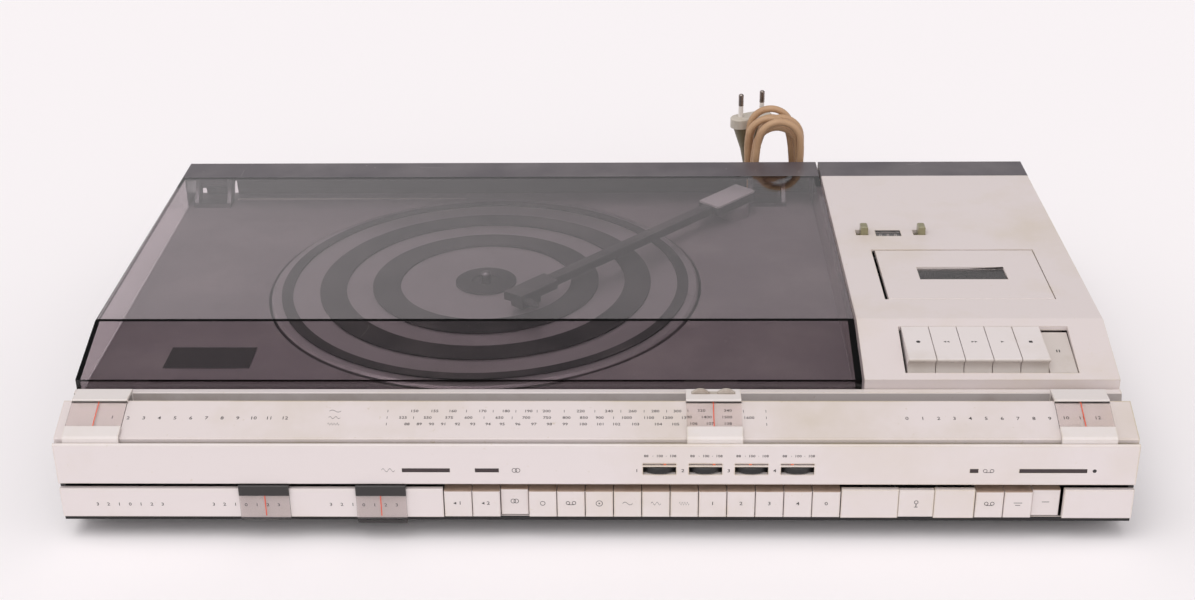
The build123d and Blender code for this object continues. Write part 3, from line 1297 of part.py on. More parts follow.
# =========================================================================== inner chassis
BOARD_THICK = 1.6
BOARD = (LEFT + 20, DECK_LEFT - 15, CHIN + 28, 70.0)
TRANSFORMER = (RIGHT - 85, RIGHT - 20, 100.0, 155.0)
with BuildPart() as main_board:
    block(BOARD[:2], BOARD[2:], (BOSS_TOP, BOSS_TOP + BOARD_THICK))
    for can_x in (-40.0, -20.0, 0.0, 20.0, 40.0):
        block((can_x, can_x + 9), (CHIN + 60, CHIN + 69), (BOSS_TOP, BOSS_TOP + 14))
    for cap_x in (80.0, 100.0, 120.0):
        post(cap_x, 40.0, BOSS_TOP, BOSS_TOP + 22, 7.0)
with BuildPart() as transformer:
    block(TRANSFORMER[:2], TRANSFORMER[2:], (TRAY_FLOOR, TRAY_FLOOR + 4))
    block(
        (TRANSFORMER[0] + 6, TRANSFORMER[1] - 6),
        (TRANSFORMER[2] + 10, TRANSFORMER[3] - 10),
        (TRAY_FLOOR + 4, TRAY_FLOOR + 46),
    )
    block(
        (TRANSFORMER[0] + 16, TRANSFORMER[1] - 16),
        (TRANSFORMER[2] + 2, TRANSFORMER[3] - 2),
        (TRAY_FLOOR + 12, TRAY_FLOOR + 38),
    )
with BuildPart() as heat_sink:
    block((90.0, 200.0), (PANEL_FRONT - 6, PANEL_FRONT), (TRAY_FLOOR, TRAY_FLOOR + 40))
    for fin in range(10):
        fin_x = 92.0 + 11 * fin
        block((fin_x, fin_x + 2.0), (PANEL_FRONT - 24, PANEL_FRONT - 6), (TRAY_FLOOR + 6, TRAY_FLOOR + 40))
with BuildPart() as drive_motor:
    post(PULLEY_X, PULLEY_Y, WELL_FLOOR_BOTTOM - MOTOR_HEIGHT, WELL_FLOOR_BOTTOM, MOTOR_RADIUS)
    post(
        PULLEY_X,
        PULLEY_Y,
        WELL_FLOOR_BOTTOM - 8 - SEAT_GAP,
        WELL_FLOOR_BOTTOM,
        MOTOR_SHAFT + PIN_PLAY,
        Mode.SUBTRACT,
    )

BELT_GAP = 0.3
belt_big = SUB_PLATTER_RADIUS + BELT_GAP
belt_small = PULLEY_RADIUS - 0.8 + BELT_GAP
belt_low = PLATTER_UNDER - SUB_PLATTER_HEIGHT + 0.5


def belt_outline(extra):
    """Face inside the belt, grown outwards by an amount."""
    big, small = belt_big + extra, belt_small + extra
    lean = acos((big - small) / PULLEY_REACH)
    direction = radians(PULLEY_ANGLE)
    corners = []
    for sign in (1, -1):
        angle = direction + sign * lean
        near = (PLATTER_X + big * cos(angle), PLATTER_Y + big * sin(angle))
        far = (PULLEY_X + small * cos(angle), PULLEY_Y + small * sin(angle))
        corners.append((near, far))
    (near_a, far_a), (near_b, far_b) = corners
    with Locations((PLATTER_X, PLATTER_Y)):
        Circle(big)
    with Locations((PULLEY_X, PULLEY_Y)):
        Circle(small)
    Polygon(near_a, far_a, far_b, near_b, align=(Align.NONE, Align.NONE))


with BuildPart() as belt:
    with BuildSketch(Plane.XY.offset(belt_low)):
        belt_outline(BELT_THICK)
    extrude(amount=BELT_WIDTH)
    with BuildSketch(Plane.XY.offset(belt_low)):
        belt_outline(0.0)
    extrude(amount=BELT_WIDTH, mode=Mode.SUBTRACT)

with BuildPart() as preset_bracket:
    bracket_left, bracket_right = PRESET_LEFTS[0] - 4, PRESET_LEFTS[-1] + PRESET_SLOT + 4
    block(
        (bracket_left, bracket_right),
        (FRONT + FLANGE_DEPTH - 6, WHEEL_Y + 10),
        (BAND_BOTTOM + WALL + 0.2, PRESET_RAIL_TOP),
    )
    for slot_left in PRESET_LEFTS:
        pin_top = PRESET_WHEEL_Z + PRESET_WHEEL_THICK / 2 + 1
        post(slot_left + PRESET_SLOT / 2, WHEEL_Y, PRESET_RAIL_TOP, pin_top, PRESET_PIN)
save(
    "inner_chassis",
    main_board.part,
    transformer.part,
    heat_sink.part,
    drive_motor.part,
    belt.part,
    preset_bracket.part,
    switch_bank(KEY_LEFT, len(SOURCE_KEYS)),
    switch_bank(TAPE_KEY_LEFT, len(TAPE_KEYS)),
)

# =========================================================================== mains lead
def corner_radii(route):
    """Radius for each corner of a route: as large as its two runs allow."""
    radii = []
    for before, here, after in zip(route, route[1:], route[2:]):
        run_in, run_out = dist(before, here), dist(here, after)
        cosine = sum((b - a) * (c - b) for a, b, c in zip(before, here, after)) / (run_in * run_out)
        half_turn = acos(max(-1.0, min(1.0, cosine))) / 2
        radii.append(0.45 * min(run_in, run_out) / tan(half_turn))
    return radii


LEAD_ROUTE = [
    (GLAND_X, BACK, GLAND_Z),
    (GLAND_X, BACK + 34, GLAND_Z),
    (GLAND_X - 28, BACK + 52, 11.0),
    (GLAND_X - 58, BACK + 34, HANK_LOW),
    (HANK_X + 32, HANK_Y, HANK_LOW),
    (HANK_X, HANK_Y, HANK_LOW),
]
lead_radii = corner_radii(LEAD_ROUTE)
print("lead radii", [round(radius, 1) for radius in lead_radii])
with BuildPart() as free_lead:
    with BuildLine() as lead_path:
        FilletPolyline(*LEAD_ROUTE, radius=lead_radii)
    with BuildSketch(Plane(origin=LEAD_ROUTE[0], z_dir=(0, 1, 0))):
        Circle(CORD_RADIUS)
    sweep()
lead_length = sum(edge.length for edge in lead_path.edges())
print("lead volume ratio", round(free_lead.part.volume / (lead_length * pi * CORD_RADIUS**2), 4))

# The hank starts below its middle, climbs at the left and comes down at the right.
HANK_LEFT = HANK_X - HANK_FOLD
HANK_RIGHT = HANK_X + HANK_FOLD
RUN_LOW = HANK_LOW + HANK_FOLD
RUN_HIGH = RUN_LOW + HANK_RUN
climb_angle = 2 * atan2(HANK_PITCH, HANK_RUN)
climb_radius = HANK_RUN / (2 * sin(climb_angle))


def fold_point(y, height, angle):
    """Point on one of the hank's folds, by its angle about the fold's centre."""
    return (HANK_X + HANK_FOLD * cos(angle), y, height + HANK_FOLD * sin(angle))


def climb_point(y, part, upper):
    """Point on the two arcs by which a run moves back by one pitch on its way down."""
    angle = climb_angle * part
    shift = climb_radius * (1 - cos(angle))
    drop = climb_radius * sin(angle)
    if upper:
        return (HANK_RIGHT, y + shift, RUN_HIGH - drop)
    return (HANK_RIGHT, y + HANK_PITCH - shift, RUN_LOW + drop)


with BuildPart() as cord_hank:
    with BuildLine() as hank_path:
        ThreePointArc(
            fold_point(HANK_Y, RUN_LOW, -pi / 2),
            fold_point(HANK_Y, RUN_LOW, -3 * pi / 4),
            fold_point(HANK_Y, RUN_LOW, -pi),
        )
        for loop in range(HANK_LOOPS):
            loop_y = HANK_Y + loop * HANK_PITCH
            next_y = loop_y + HANK_PITCH
            Line((HANK_LEFT, loop_y, RUN_LOW), (HANK_LEFT, loop_y, RUN_HIGH))
            ThreePointArc(
                fold_point(loop_y, RUN_HIGH, pi),
                fold_point(loop_y, RUN_HIGH, pi / 2),
                fold_point(loop_y, RUN_HIGH, 0),
            )
            ThreePointArc(
                climb_point(loop_y, 0, True), climb_point(loop_y, 0.5, True), climb_point(loop_y, 1, True)
            )
            ThreePointArc(
                climb_point(loop_y, 1, False), climb_point(loop_y, 0.5, False), climb_point(loop_y, 0, False)
            )
            ThreePointArc(
                fold_point(next_y, RUN_LOW, 0),
                fold_point(next_y, RUN_LOW, -pi / 2),
                fold_point(next_y, RUN_LOW, -pi),
            )
    with BuildSketch(Plane(origin=(HANK_X, HANK_Y, HANK_LOW), z_dir=(-1, 0, 0))):
        Circle(CORD_RADIUS)
    sweep()
save("cord_hank", cord_hank.part)
hank_wire = hank_path.wires()[0]
hank_length = hank_wire.length
print("hank volume ratio", round(cord_hank.part.volume / (hank_length * pi * CORD_RADIUS**2), 4))

HANK_END_Y = HANK_Y + HANK_LOOPS * HANK_PITCH
PLUG_Y = HANK_END_Y + 8.8
PLUG_FACE = 111.0
PLUG_ENTRY = PLUG_FACE - PLUG_BODY
TAIL_ROUTE = [
    (HANK_LEFT, HANK_END_Y, RUN_LOW),
    (HANK_LEFT, HANK_END_Y, RUN_LOW + 14),
    (HANK_LEFT, PLUG_Y, PLUG_ENTRY - 19),
    (HANK_LEFT, PLUG_Y, PLUG_ENTRY),
]
tail_radii = corner_radii(TAIL_ROUTE)
print("tail radii", [round(radius, 1) for radius in tail_radii])
with BuildPart() as plug_tail:
    with BuildLine() as tail_path:
        FilletPolyline(*TAIL_ROUTE, radius=tail_radii)
    with BuildSketch(Plane(origin=TAIL_ROUTE[0], z_dir=(0, 0, 1))):
        Circle(CORD_RADIUS)
    sweep()
tail_length = sum(edge.length for edge in tail_path.edges())
save("mains_cord", free_lead.part, plug_tail.part)

samples = [hank_wire.position_at(step / 1200) for step in range(1201)]
spacing = hank_length / 1200
apart = int(4 * CORD / spacing)
least_gap = min(
    (samples[first] - samples[second]).length
    for first in range(0, 1201, 2)
    for second in range(first + apart, 1201, 2)
)
print("hank least gap to itself", round(least_gap - CORD, 2))
print("mains lead length", round(lead_length + hank_length + tail_length))


def plug_plane(height):
    """Level plane across the plug, turned a little as the plug lies."""
    yaw = radians(PLUG_YAW)
    return Plane(origin=(HANK_LEFT, PLUG_Y, height), x_dir=(cos(yaw), sin(yaw), 0), z_dir=(0, 0, 1))


with BuildPart() as plug_body:
    with BuildSketch(plug_plane(PLUG_ENTRY)):
        SlotOverall(12, 9)
    with BuildSketch(plug_plane(PLUG_ENTRY + 12)):
        SlotOverall(17, 11)
    with BuildSketch(plug_plane(PLUG_FACE - 8)):
        SlotOverall(31, 14)
    loft(ruled=True)
    with BuildSketch(plug_plane(PLUG_FACE - 8)):
        SlotOverall(35.5, 15)
    extrude(amount=8)
    chamfer(plug_body.faces().sort_by(Axis.Z)[-1].edges(), 1.0)
with BuildPart() as pin_sleeves:
    with BuildSketch(plug_plane(PLUG_FACE)):
        with GridLocations(PLUG_PIN_SPACING, 0, 2, 1):
            Circle(PLUG_PIN - 0.1)
    extrude(amount=PLUG_PIN_LENGTH / 2)
with BuildPart() as pin_tips:
    with BuildSketch(plug_plane(PLUG_FACE + PLUG_PIN_LENGTH / 2)):
        with GridLocations(PLUG_PIN_SPACING, 0, 2, 1):
            Circle(PLUG_PIN)
    extrude(amount=PLUG_PIN_LENGTH / 2)
    chamfer(pin_tips.faces().sort_by(Axis.Z)[-2:].edges(), 0.8)
save("mains_plug", plug_body.part, pin_sleeves.part, pin_tips.part)
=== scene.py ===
"""Looks of the stereo music centre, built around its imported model.

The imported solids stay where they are. This script gives them their finishes and adds what they lack:
printed scales and signs, screws, the mains lead's soft line, and the light and camera. Sizes are in
millimetres, in the model's own frame, and are turned into metres where Blender needs them.
"""

from __future__ import annotations

import logging
import math
from collections.abc import Iterable
from dataclasses import dataclass, field
from enum import Enum
from functools import cache

import bmesh
import bpy
from mathutils import Matrix, Vector

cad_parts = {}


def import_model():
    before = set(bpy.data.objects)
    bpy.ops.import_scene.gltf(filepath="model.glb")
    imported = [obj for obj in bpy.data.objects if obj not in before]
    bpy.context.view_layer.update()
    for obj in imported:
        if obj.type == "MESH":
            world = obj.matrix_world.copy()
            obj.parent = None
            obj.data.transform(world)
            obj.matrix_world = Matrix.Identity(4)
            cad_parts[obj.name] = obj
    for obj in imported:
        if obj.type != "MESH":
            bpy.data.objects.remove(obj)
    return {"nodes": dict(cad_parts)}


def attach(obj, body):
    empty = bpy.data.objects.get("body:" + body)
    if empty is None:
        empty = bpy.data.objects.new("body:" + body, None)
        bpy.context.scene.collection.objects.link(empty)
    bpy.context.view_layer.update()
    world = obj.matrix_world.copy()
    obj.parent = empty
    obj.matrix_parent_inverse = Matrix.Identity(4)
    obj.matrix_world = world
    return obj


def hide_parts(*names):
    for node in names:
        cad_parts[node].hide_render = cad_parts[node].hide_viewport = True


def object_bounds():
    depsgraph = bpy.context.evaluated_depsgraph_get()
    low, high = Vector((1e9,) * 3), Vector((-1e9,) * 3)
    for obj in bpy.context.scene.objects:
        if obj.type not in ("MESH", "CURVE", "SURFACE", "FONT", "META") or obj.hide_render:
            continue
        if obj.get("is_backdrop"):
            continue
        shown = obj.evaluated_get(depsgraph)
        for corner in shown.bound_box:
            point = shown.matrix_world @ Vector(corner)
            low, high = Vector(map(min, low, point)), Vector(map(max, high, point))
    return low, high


LOG = logging.getLogger("music_centre")
MM = 0.001
CABINET = "cabinet"

Colour = tuple[float, float, float]
Point = tuple[float, float, float]
Span = tuple[float, float]


def show(name: str, data: bpy.types.ID) -> bpy.types.Object:
    """Put new data into the scene as an object.

    Args:
        name: Name of the object.
        data: Its mesh, curve, light or camera.

    Returns:
        The new object.
    """
    thing = bpy.data.objects.new(name, data)
    bpy.context.scene.collection.objects.link(thing)
    return thing


def moved(point: Point) -> Matrix:
    """Return the shift to a point given in millimetres."""
    return Matrix.Translation(Vector(point) * MM)


def shade(red: int, green: int, blue: int) -> Colour:
    """Turn a display colour, from 0 to 255, into a linear one.

    Args:
        red: Red part.
        green: Green part.
        blue: Blue part.

    Returns:
        The three parts in linear light.
    """

    def linear(value: int) -> float:
        """One part in linear light."""
        part = value / 255
        return part / 12.92 if part <= 0.04045 else ((part + 0.055) / 1.055) ** 2.4

    return linear(red), linear(green), linear(blue)


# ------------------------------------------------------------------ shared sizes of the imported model
FRONT = -186.5
BACK = 188.0
STRIP_TOP = 35.8
PLATE_TOP = 69.0  # upper face of the plate under the record
DIAL_EDGE = -182.4
DIAL_BACK = -155.4
DIAL_FRONT_Z = 68.4
DIAL_SLOPE = 10.3 / 27.0
DIAL_STRETCH = math.sqrt(1 + DIAL_SLOPE**2)
PANE_LIFT = 1.95  # upper face of a dial slider's window above the dial plate
PLATTER_CENTRE = (-78.5, 22.5)
INK = 0.05  # thickness of a printed mark


# ================================================================== nodes of the materials
class Graph:
    """Lays nodes in one node tree."""

    def __init__(self, tree: bpy.types.NodeTree) -> None:
        """Keep the tree that the nodes go into."""
        self.tree = tree

    @classmethod
    def of_material(cls, name: str) -> tuple[bpy.types.Material, Graph]:
        """Start a material without nodes.

        Args:
            name: Name of the material.

        Returns:
            The material and its graph.
        """
        material = bpy.data.materials.new(name)
        material.use_nodes = True
        material.node_tree.nodes.clear()
        return material, cls(material.node_tree)

    def add(self, kind: str, inputs: dict | None = None, **settings: object) -> bpy.types.Node:
        """Add a node.

        Args:
            kind: Blender's name of the node type.
            inputs: Values or sockets for its inputs, by name or number.
            **settings: Properties of the node.

        Returns:
            The new node.
        """
        node = self.tree.nodes.new(kind)
        for key, value in settings.items():
            setattr(node, key, value)
        for key, value in (inputs or {}).items():
            if isinstance(value, bpy.types.NodeSocket):
                self.tree.links.new(value, node.inputs[key])
            else:
                node.inputs[key].default_value = value
        return node

    def group(self, tree: bpy.types.NodeTree, inputs: dict) -> bpy.types.NodeOutputs:
        """Place a shared group and return its outputs."""
        return self.add("ShaderNodeGroup", inputs, node_tree=tree).outputs

    def math(self, operation: str, first: object, second: object = 0.0) -> bpy.types.NodeSocket:
        """Add a Math node and return its result."""
        return self.add("ShaderNodeMath", {0: first, 1: second}, operation=operation).outputs[0]

    def remap(
        self, value: object, low: float, high: float, to: Span = (0.0, 1.0)
    ) -> bpy.types.NodeSocket:
        """Spread a value from one span to another, and keep it there."""
        given = {"Value": value, "From Min": low, "From Max": high, "To Min": to[0], "To Max": to[1]}
        return self.add("ShaderNodeMapRange", given).outputs[0]

    def noise(self, where: object, scale: object, detail: float, rough: float) -> bpy.types.NodeSocket:
        """Add a Noise texture and return its value."""
        given = {"Vector": where, "Scale": scale, "Detail": detail, "Roughness": rough}
        return self.add("ShaderNodeTexNoise", given).outputs["Fac"]

    def mix(self, share: object, first: object, second: object) -> bpy.types.NodeSocket:
        """Mix two colours and return the result."""
        return self.add("ShaderNodeMix", {0: share, 6: first, 7: second}, data_type="RGBA").outputs[2]

    def place(self) -> bpy.types.NodeSocket:
        """Return where a point of the surface lies on its object, in metres."""
        return self.add("ShaderNodeTexCoord").outputs["Object"]

    def normal(self) -> bpy.types.NodeSocket:
        """Return the surface's plain normal."""
        return self.add("ShaderNodeNewGeometry").outputs["Normal"]


class Socket(Enum):
    """Kind of a socket of a shared group."""

    COLOUR = "NodeSocketColor"
    VALUE = "NodeSocketFloat"
    VECTOR = "NodeSocketVector"


class Effect:
    """The shader node groups that several finishes share, each built once."""

    PATCHES = (0.5, 0.72)  # spans of a noise in which a mark grows from nothing to full
    SPECKLES = (0.66, 0.74)
    SPECKLE_FINENESS = 23.0
    WORN_RADIUS = 0.0016  # metres from an edge that its wear reaches
    WORN_TURN = (0.75, 0.995)
    WORN_STRETCHES = (0.35, 0.6)
    FACING_UP = (0.3, 0.9)
    FILM = (0.4, 0.75)
    FILM_SHARE = 0.35
    SPECK_SIZE = 0.045
    SCRATCH_WIDTH = 0.0006
    SCRATCH_PIECES = (0.58, 0.6)

    @staticmethod
    def start(
        name: str, inputs: dict[str, Socket], outputs: dict[str, Socket]
    ) -> tuple[Graph, object]:
        """Start a group.

        Args:
            name: Name of the group.
            inputs: Kinds of its inputs, by name.
            outputs: Kinds of its outputs, by name.

        Returns:
            The group's graph, and the sockets to read its inputs from.
        """
        group = bpy.data.node_groups.new(name, "ShaderNodeTree")
        for way, sockets in (("INPUT", inputs), ("OUTPUT", outputs)):
            for label, kind in sockets.items():
                group.interface.new_socket(name=label, in_out=way, socket_type=kind.value)
        graph = Graph(group)
        return graph, graph.add("NodeGroupInput").outputs

    @classmethod
    @cache
    def ageing(cls) -> bpy.types.NodeTree:
        """Lay yellowed patches, fine soiling and worn edges on a colour.

        Returns:
            The group's node tree.
        """
        inputs = {"Colour": Socket.COLOUR, "Aged": Socket.COLOUR, "Stain": Socket.VALUE,
                  "Scale": Socket.VALUE, "Edge": Socket.VALUE}
        graph, read = cls.start("ageing", inputs, {"Colour": Socket.COLOUR, "Wear": Socket.VALUE})
        where = graph.place()
        cloud = graph.noise(where, read["Scale"], 5.0, 0.6)
        patch = graph.remap(cloud, *cls.PATCHES)
        finer = graph.math("MULTIPLY", read["Scale"], cls.SPECKLE_FINENESS)
        fine = graph.noise(where, finer, 3.0, 0.65)
        speckle = graph.remap(fine, *cls.SPECKLES)
        stain = graph.math("MULTIPLY", graph.math("MAXIMUM", patch, speckle), read["Stain"])
        rounded = graph.add("ShaderNodeBevel", {"Radius": cls.WORN_RADIUS}, samples=4).outputs[0]
        turn = graph.add("ShaderNodeVectorMath", {0: rounded, 1: graph.normal()},
                         operation="DOT_PRODUCT")
        edge = graph.math("SUBTRACT", 1.0, graph.remap(turn.outputs["Value"], *cls.WORN_TURN))
        edge = graph.math("MULTIPLY", edge, graph.remap(cloud, *cls.WORN_STRETCHES))
        edge = graph.math("MULTIPLY", edge, read["Edge"])
        wear = graph.math("MINIMUM", graph.math("ADD", stain, edge), 1.0)
        tint = graph.mix(wear, read["Colour"], read["Aged"])
        graph.add("NodeGroupOutput", {"Colour": tint, "Wear": wear})
        return graph.tree

    @classmethod
    @cache
    def texture(cls) -> bpy.types.NodeTree:
        """Make the fine relief of a surface, drawn out along its axes by a vector.

        Returns:
            The group's node tree.
        """
        graph, read = cls.start("texture", {"Stretch": Socket.VECTOR}, {"Height": Socket.VALUE})
        drawn = graph.add("ShaderNodeVectorMath", {0: graph.place(), 1: read["Stretch"]},
                          operation="MULTIPLY")
        graph.add("NodeGroupOutput", {"Height": graph.noise(drawn.outputs[0], 1.0, 2.0, 0.5)})
        return graph.tree

    @classmethod
    @cache
    def dust(cls) -> bpy.types.NodeTree:
        """Lay settled dust and short hairline scratches on faces that look up.

        Returns:
            The group's node tree.
        """
        inputs = {"Colour": Socket.COLOUR, "Dust": Socket.COLOUR, "Amount": Socket.VALUE}
        graph, read = cls.start("dust", inputs, {"Colour": Socket.COLOUR, "Mask": Socket.VALUE})
        where = graph.place()
        upright = graph.add("ShaderNodeSeparateXYZ", {0: graph.normal()}).outputs["Z"]
        upright = graph.remap(upright, *cls.FACING_UP)
        film = graph.remap(graph.noise(where, 14.0, 4.0, 0.6), *cls.FILM)
        film = graph.math("MULTIPLY", film, cls.FILM_SHARE)
        cells = graph.add("ShaderNodeTexVoronoi", {"Vector": where, "Scale": 90.0})
        specks = graph.math("LESS_THAN", cells.outputs["Distance"], cls.SPECK_SIZE)
        line = graph.math("ABSOLUTE", graph.math("SUBTRACT", graph.noise(where, 9.0, 1.0, 0.4), 0.5))
        line = graph.math("LESS_THAN", line, cls.SCRATCH_WIDTH)
        broken = graph.remap(graph.noise(where, 31.0, 1.0, 0.5), *cls.SCRATCH_PIECES)
        marks = graph.math("MAXIMUM", specks, graph.math("MULTIPLY", line, broken))
        mask = graph.math("MULTIPLY", graph.math("MAXIMUM", film, marks), upright)
        mask = graph.math("MULTIPLY", mask, read["Amount"])
        tint = graph.mix(mask, read["Colour"], read["Dust"])
        graph.add("NodeGroupOutput", {"Colour": tint, "Mask": mask})
        return graph.tree


class Grain(Enum):
    """Relief of a surface, as how often it repeats in a metre along X, Y and Z."""

    BRUSHED = (60.0, 5200.0, 5200.0)
    MOULDED = (1900.0, 1900.0, 1900.0)
    SMOOTH = (240.0, 240.0, 240.0)
    RUBBERY = (900.0, 900.0, 900.0)


RELIEF_DEPTH = 0.0003  # metres
WORN_ROUGHER = 0.2
DUSTY_ROUGHER = 0.25


@dataclass(frozen=True)
class Finish:
    """An opaque finish of the set, with its age on it."""

    name: str
    slot: str
    colour: Colour
    aged: Colour
    roughness: float
    metallic: float = 0.0
    stain: float = 0.15
    stain_scale: float = 12.0
    edge: float = 0.3
    grain: Grain = Grain.MOULDED
    relief: float = 0.06
    dust: float = 0.0
    coat: float = 0.0

    @cache
    def material(self) -> bpy.types.Material:
        """Build the material, at the first call.

        Returns:
            The same material at each call.
        """
        material, graph = Graph.of_material(self.name)
        aged = graph.group(Effect.ageing(), {
            "Colour": (*self.colour, 1), "Aged": (*self.aged, 1),
            "Stain": self.stain, "Scale": self.stain_scale, "Edge": self.edge})
        colour = aged["Colour"]
        if self.dust:
            dust = {"Colour": colour, "Dust": (*DUST, 1), "Amount": self.dust}
            colour = graph.group(Effect.dust(), dust)["Colour"]
        relief = graph.group(Effect.texture(), {"Stretch": self.grain.value})["Height"]
        bump = graph.add("ShaderNodeBump",
                         {"Height": relief, "Strength": self.relief, "Distance": RELIEF_DEPTH})
        spread = (self.roughness, min(1.0, self.roughness + WORN_ROUGHER))
        shader = graph.add("ShaderNodeBsdfPrincipled", {
            "Base Color": colour, "Roughness": graph.remap(aged["Wear"], 0.0, 1.0, spread),
            "Metallic": self.metallic, "Coat Weight": self.coat, "Normal": bump.outputs["Normal"]})
        graph.add("ShaderNodeOutputMaterial", {"Surface": shader.outputs[0]})
        return material


@dataclass(frozen=True)
class ClearFinish:
    """A clear or smoked plastic, with light scratches in its gloss."""

    name: str
    slot: str
    colour: Colour
    roughness: float
    scratched: float
    passed: Colour  # light that a face lets through to what lies behind it
    index: float = 1.49

    @cache
    def material(self) -> bpy.types.Material:
        """Build the material, at the first call.

        Returns:
            The same material at each call.
        """
        material, graph = Graph.of_material(self.name)
        dusty = graph.group(Effect.dust(), {
            "Colour": (*self.colour, 1), "Dust": (*DUST, 1), "Amount": self.scratched})
        spread = (self.roughness, self.roughness + DUSTY_ROUGHER)
        shader = graph.add("ShaderNodeBsdfPrincipled", {
            "Base Color": dusty["Colour"], "Roughness": graph.remap(dusty["Mask"], 0.0, 1.0, spread),
            "Metallic": 0.0, "IOR": self.index, "Transmission Weight": 1.0})
        through = graph.add("ShaderNodeBsdfTransparent", {"Color": (*self.passed, 1)})
        lamp_ray = graph.add("ShaderNodeLightPath").outputs["Is Shadow Ray"]
        ways = {0: lamp_ray, 1: shader.outputs[0], 2: through.outputs[0]}
        both = graph.add("ShaderNodeMixShader", ways)
        graph.add("ShaderNodeOutputMaterial", {"Surface": both.outputs[0]})
        return material


AnyFinish = Finish | ClearFinish

DUST = shade(176, 168, 166)
YELLOWED = shade(190, 172, 132)
BROWNED = shade(128, 104, 84)
PANEL = Finish("front_lacquer", "front_metal", shade(223, 214, 213), YELLOWED, 0.42,
               stain=0.22, stain_scale=7.0, edge=0.7, grain=Grain.BRUSHED, relief=0.03)
DIAL = Finish("dial_lacquer", "dial_metal", shade(219, 208, 206), shade(178, 162, 124), 0.4,
              stain=0.38, stain_scale=8.0, edge=0.85, grain=Grain.BRUSHED, relief=0.03)
DECK = Finish("deck_lacquer", "deck_metal", shade(219, 208, 206), shade(196, 180, 146), 0.42,
              stain=0.3, stain_scale=11.0, edge=0.5, grain=Grain.BRUSHED, relief=0.03)
# Floor of the rail's channel: its darker grey is painted shade of the recess, with real staining on
# it.
CHANNEL_SHADE = Finish("channel_grey_shade", "dial_metal", shade(166, 158, 156), shade(124, 110, 94), 0.5,
                 stain=0.45, stain_scale=20.0, edge=0.3, grain=Grain.BRUSHED, relief=0.05)
KEY = Finish("key_moulding", "key_plastic", shade(222, 213, 211), YELLOWED, 0.45,
             stain=0.2, stain_scale=16.0, edge=0.5)
# Top faces of the front keys, seen in the gap under the band: the brown base is painted shade of that
# gap, with real soiling on it.
KEY_TOP_SHADE_AND_SOIL = Finish("key_top_shade_and_soil", "key_plastic", shade(160, 138, 122), BROWNED, 0.6,
                 stain=0.6, stain_scale=60.0, edge=0.2)
PIANO = Finish("deck_key_moulding", "key_plastic", shade(225, 216, 214), shade(168, 150, 116), 0.38,
               stain=0.16, stain_scale=24.0, edge=0.35)
# The pressed pause key: its darker base is painted shade of a key that sits low in its well; its
# heavier staining is real wear.
PIANO_WORN_AND_SHADED = Finish("deck_key_worn_and_shaded", "key_plastic", shade(206, 196, 190), shade(158, 140, 108), 0.38,
                    stain=0.3, stain_scale=30.0, edge=0.4)
# Front faces of the piano keys, painted darker as the shade under the key tops.
PIANO_LIP_SHADE = Finish("deck_key_lip_shade", "key_plastic", shade(196, 187, 180), shade(150, 132, 104), 0.42,
                   stain=0.2, stain_scale=24.0, edge=0.35)
CASE = Finish("case_moulding", "dark_case", shade(52, 50, 52), shade(96, 92, 90), 0.55,
              stain=0.2, edge=0.35, relief=0.25, dust=0.25)
SHADOW_TRIM = Finish("slot_black", "dark_case", shade(22, 20, 21), shade(60, 56, 52), 0.6,
                     stain=0.15, edge=0.1)
RUBBER = Finish("foot_rubber", "rubber", shade(30, 29, 29), shade(82, 78, 74), 0.85,
                stain=0.3, stain_scale=60.0, edge=0.3, grain=Grain.RUBBERY, relief=0.4)
REAR_STRIP = Finish("rear_strip", "smoked_acrylic", shade(76, 69, 75), shade(104, 98, 100), 0.3,
                    stain=0.25, stain_scale=16.0, edge=0.4, dust=0.6, relief=0.04)
PLINTH = Finish("plinth_black", "dark_deck", shade(112, 103, 107), shade(136, 128, 128), 0.5,
                stain=0.25, stain_scale=14.0, edge=0.3, relief=0.12, dust=0.5)
CONTROL_PLATE = Finish("control_plate", "dark_deck", shade(12, 11, 12), shade(48, 46, 48), 0.22,
                       stain=0.1, edge=0.2, grain=Grain.SMOOTH)
WELL = Finish("well_plastic", "dark_deck", shade(30, 29, 31), shade(74, 70, 68), 0.45,
              stain=0.2, edge=0.3)
SPINDLE = Finish("spindle_plastic", "dark_deck", shade(205, 200, 192), YELLOWED, 0.35, edge=0.3)
HEAD_METAL = Finish("head_metal", "dark_deck", shade(168, 162, 158), shade(110, 98, 84), 0.25,
                    metallic=1.0, stain=0.2, stain_scale=90.0, grain=Grain.SMOOTH)
STEEL = Finish("plated_steel", "hinge_steel", shade(120, 118, 120), shade(70, 64, 60), 0.35,
               metallic=1.0, stain=0.3, stain_scale=70.0, edge=0.5, grain=Grain.SMOOTH)
PLATTER_METAL = Finish("platter_turned", "platter_aluminium", shade(158, 151, 154),
                       shade(122, 116, 116), 0.32, metallic=0.75, stain=0.2, stain_scale=18.0,
                       edge=0.3, grain=Grain.SMOOTH, relief=0.08, dust=0.35)
PLATTER_RUBBER = Finish("platter_rubber", "platter_aluminium", shade(34, 32, 34),
                        shade(84, 80, 80), 0.75, stain=0.25, stain_scale=40.0, edge=0.2,
                        grain=Grain.RUBBERY, relief=0.3, dust=0.3)
BRASS = Finish("pulley_brass", "brass_pulley", shade(190, 160, 92), shade(110, 84, 48), 0.28,
               metallic=1.0, stain=0.2, stain_scale=80.0, grain=Grain.SMOOTH)
ARM_BLACK = Finish("arm_anodised", "arm_metal", shade(34, 32, 34), shade(100, 96, 96), 0.35,
                   stain=0.1, edge=0.6, grain=Grain.SMOOTH, dust=0.4)
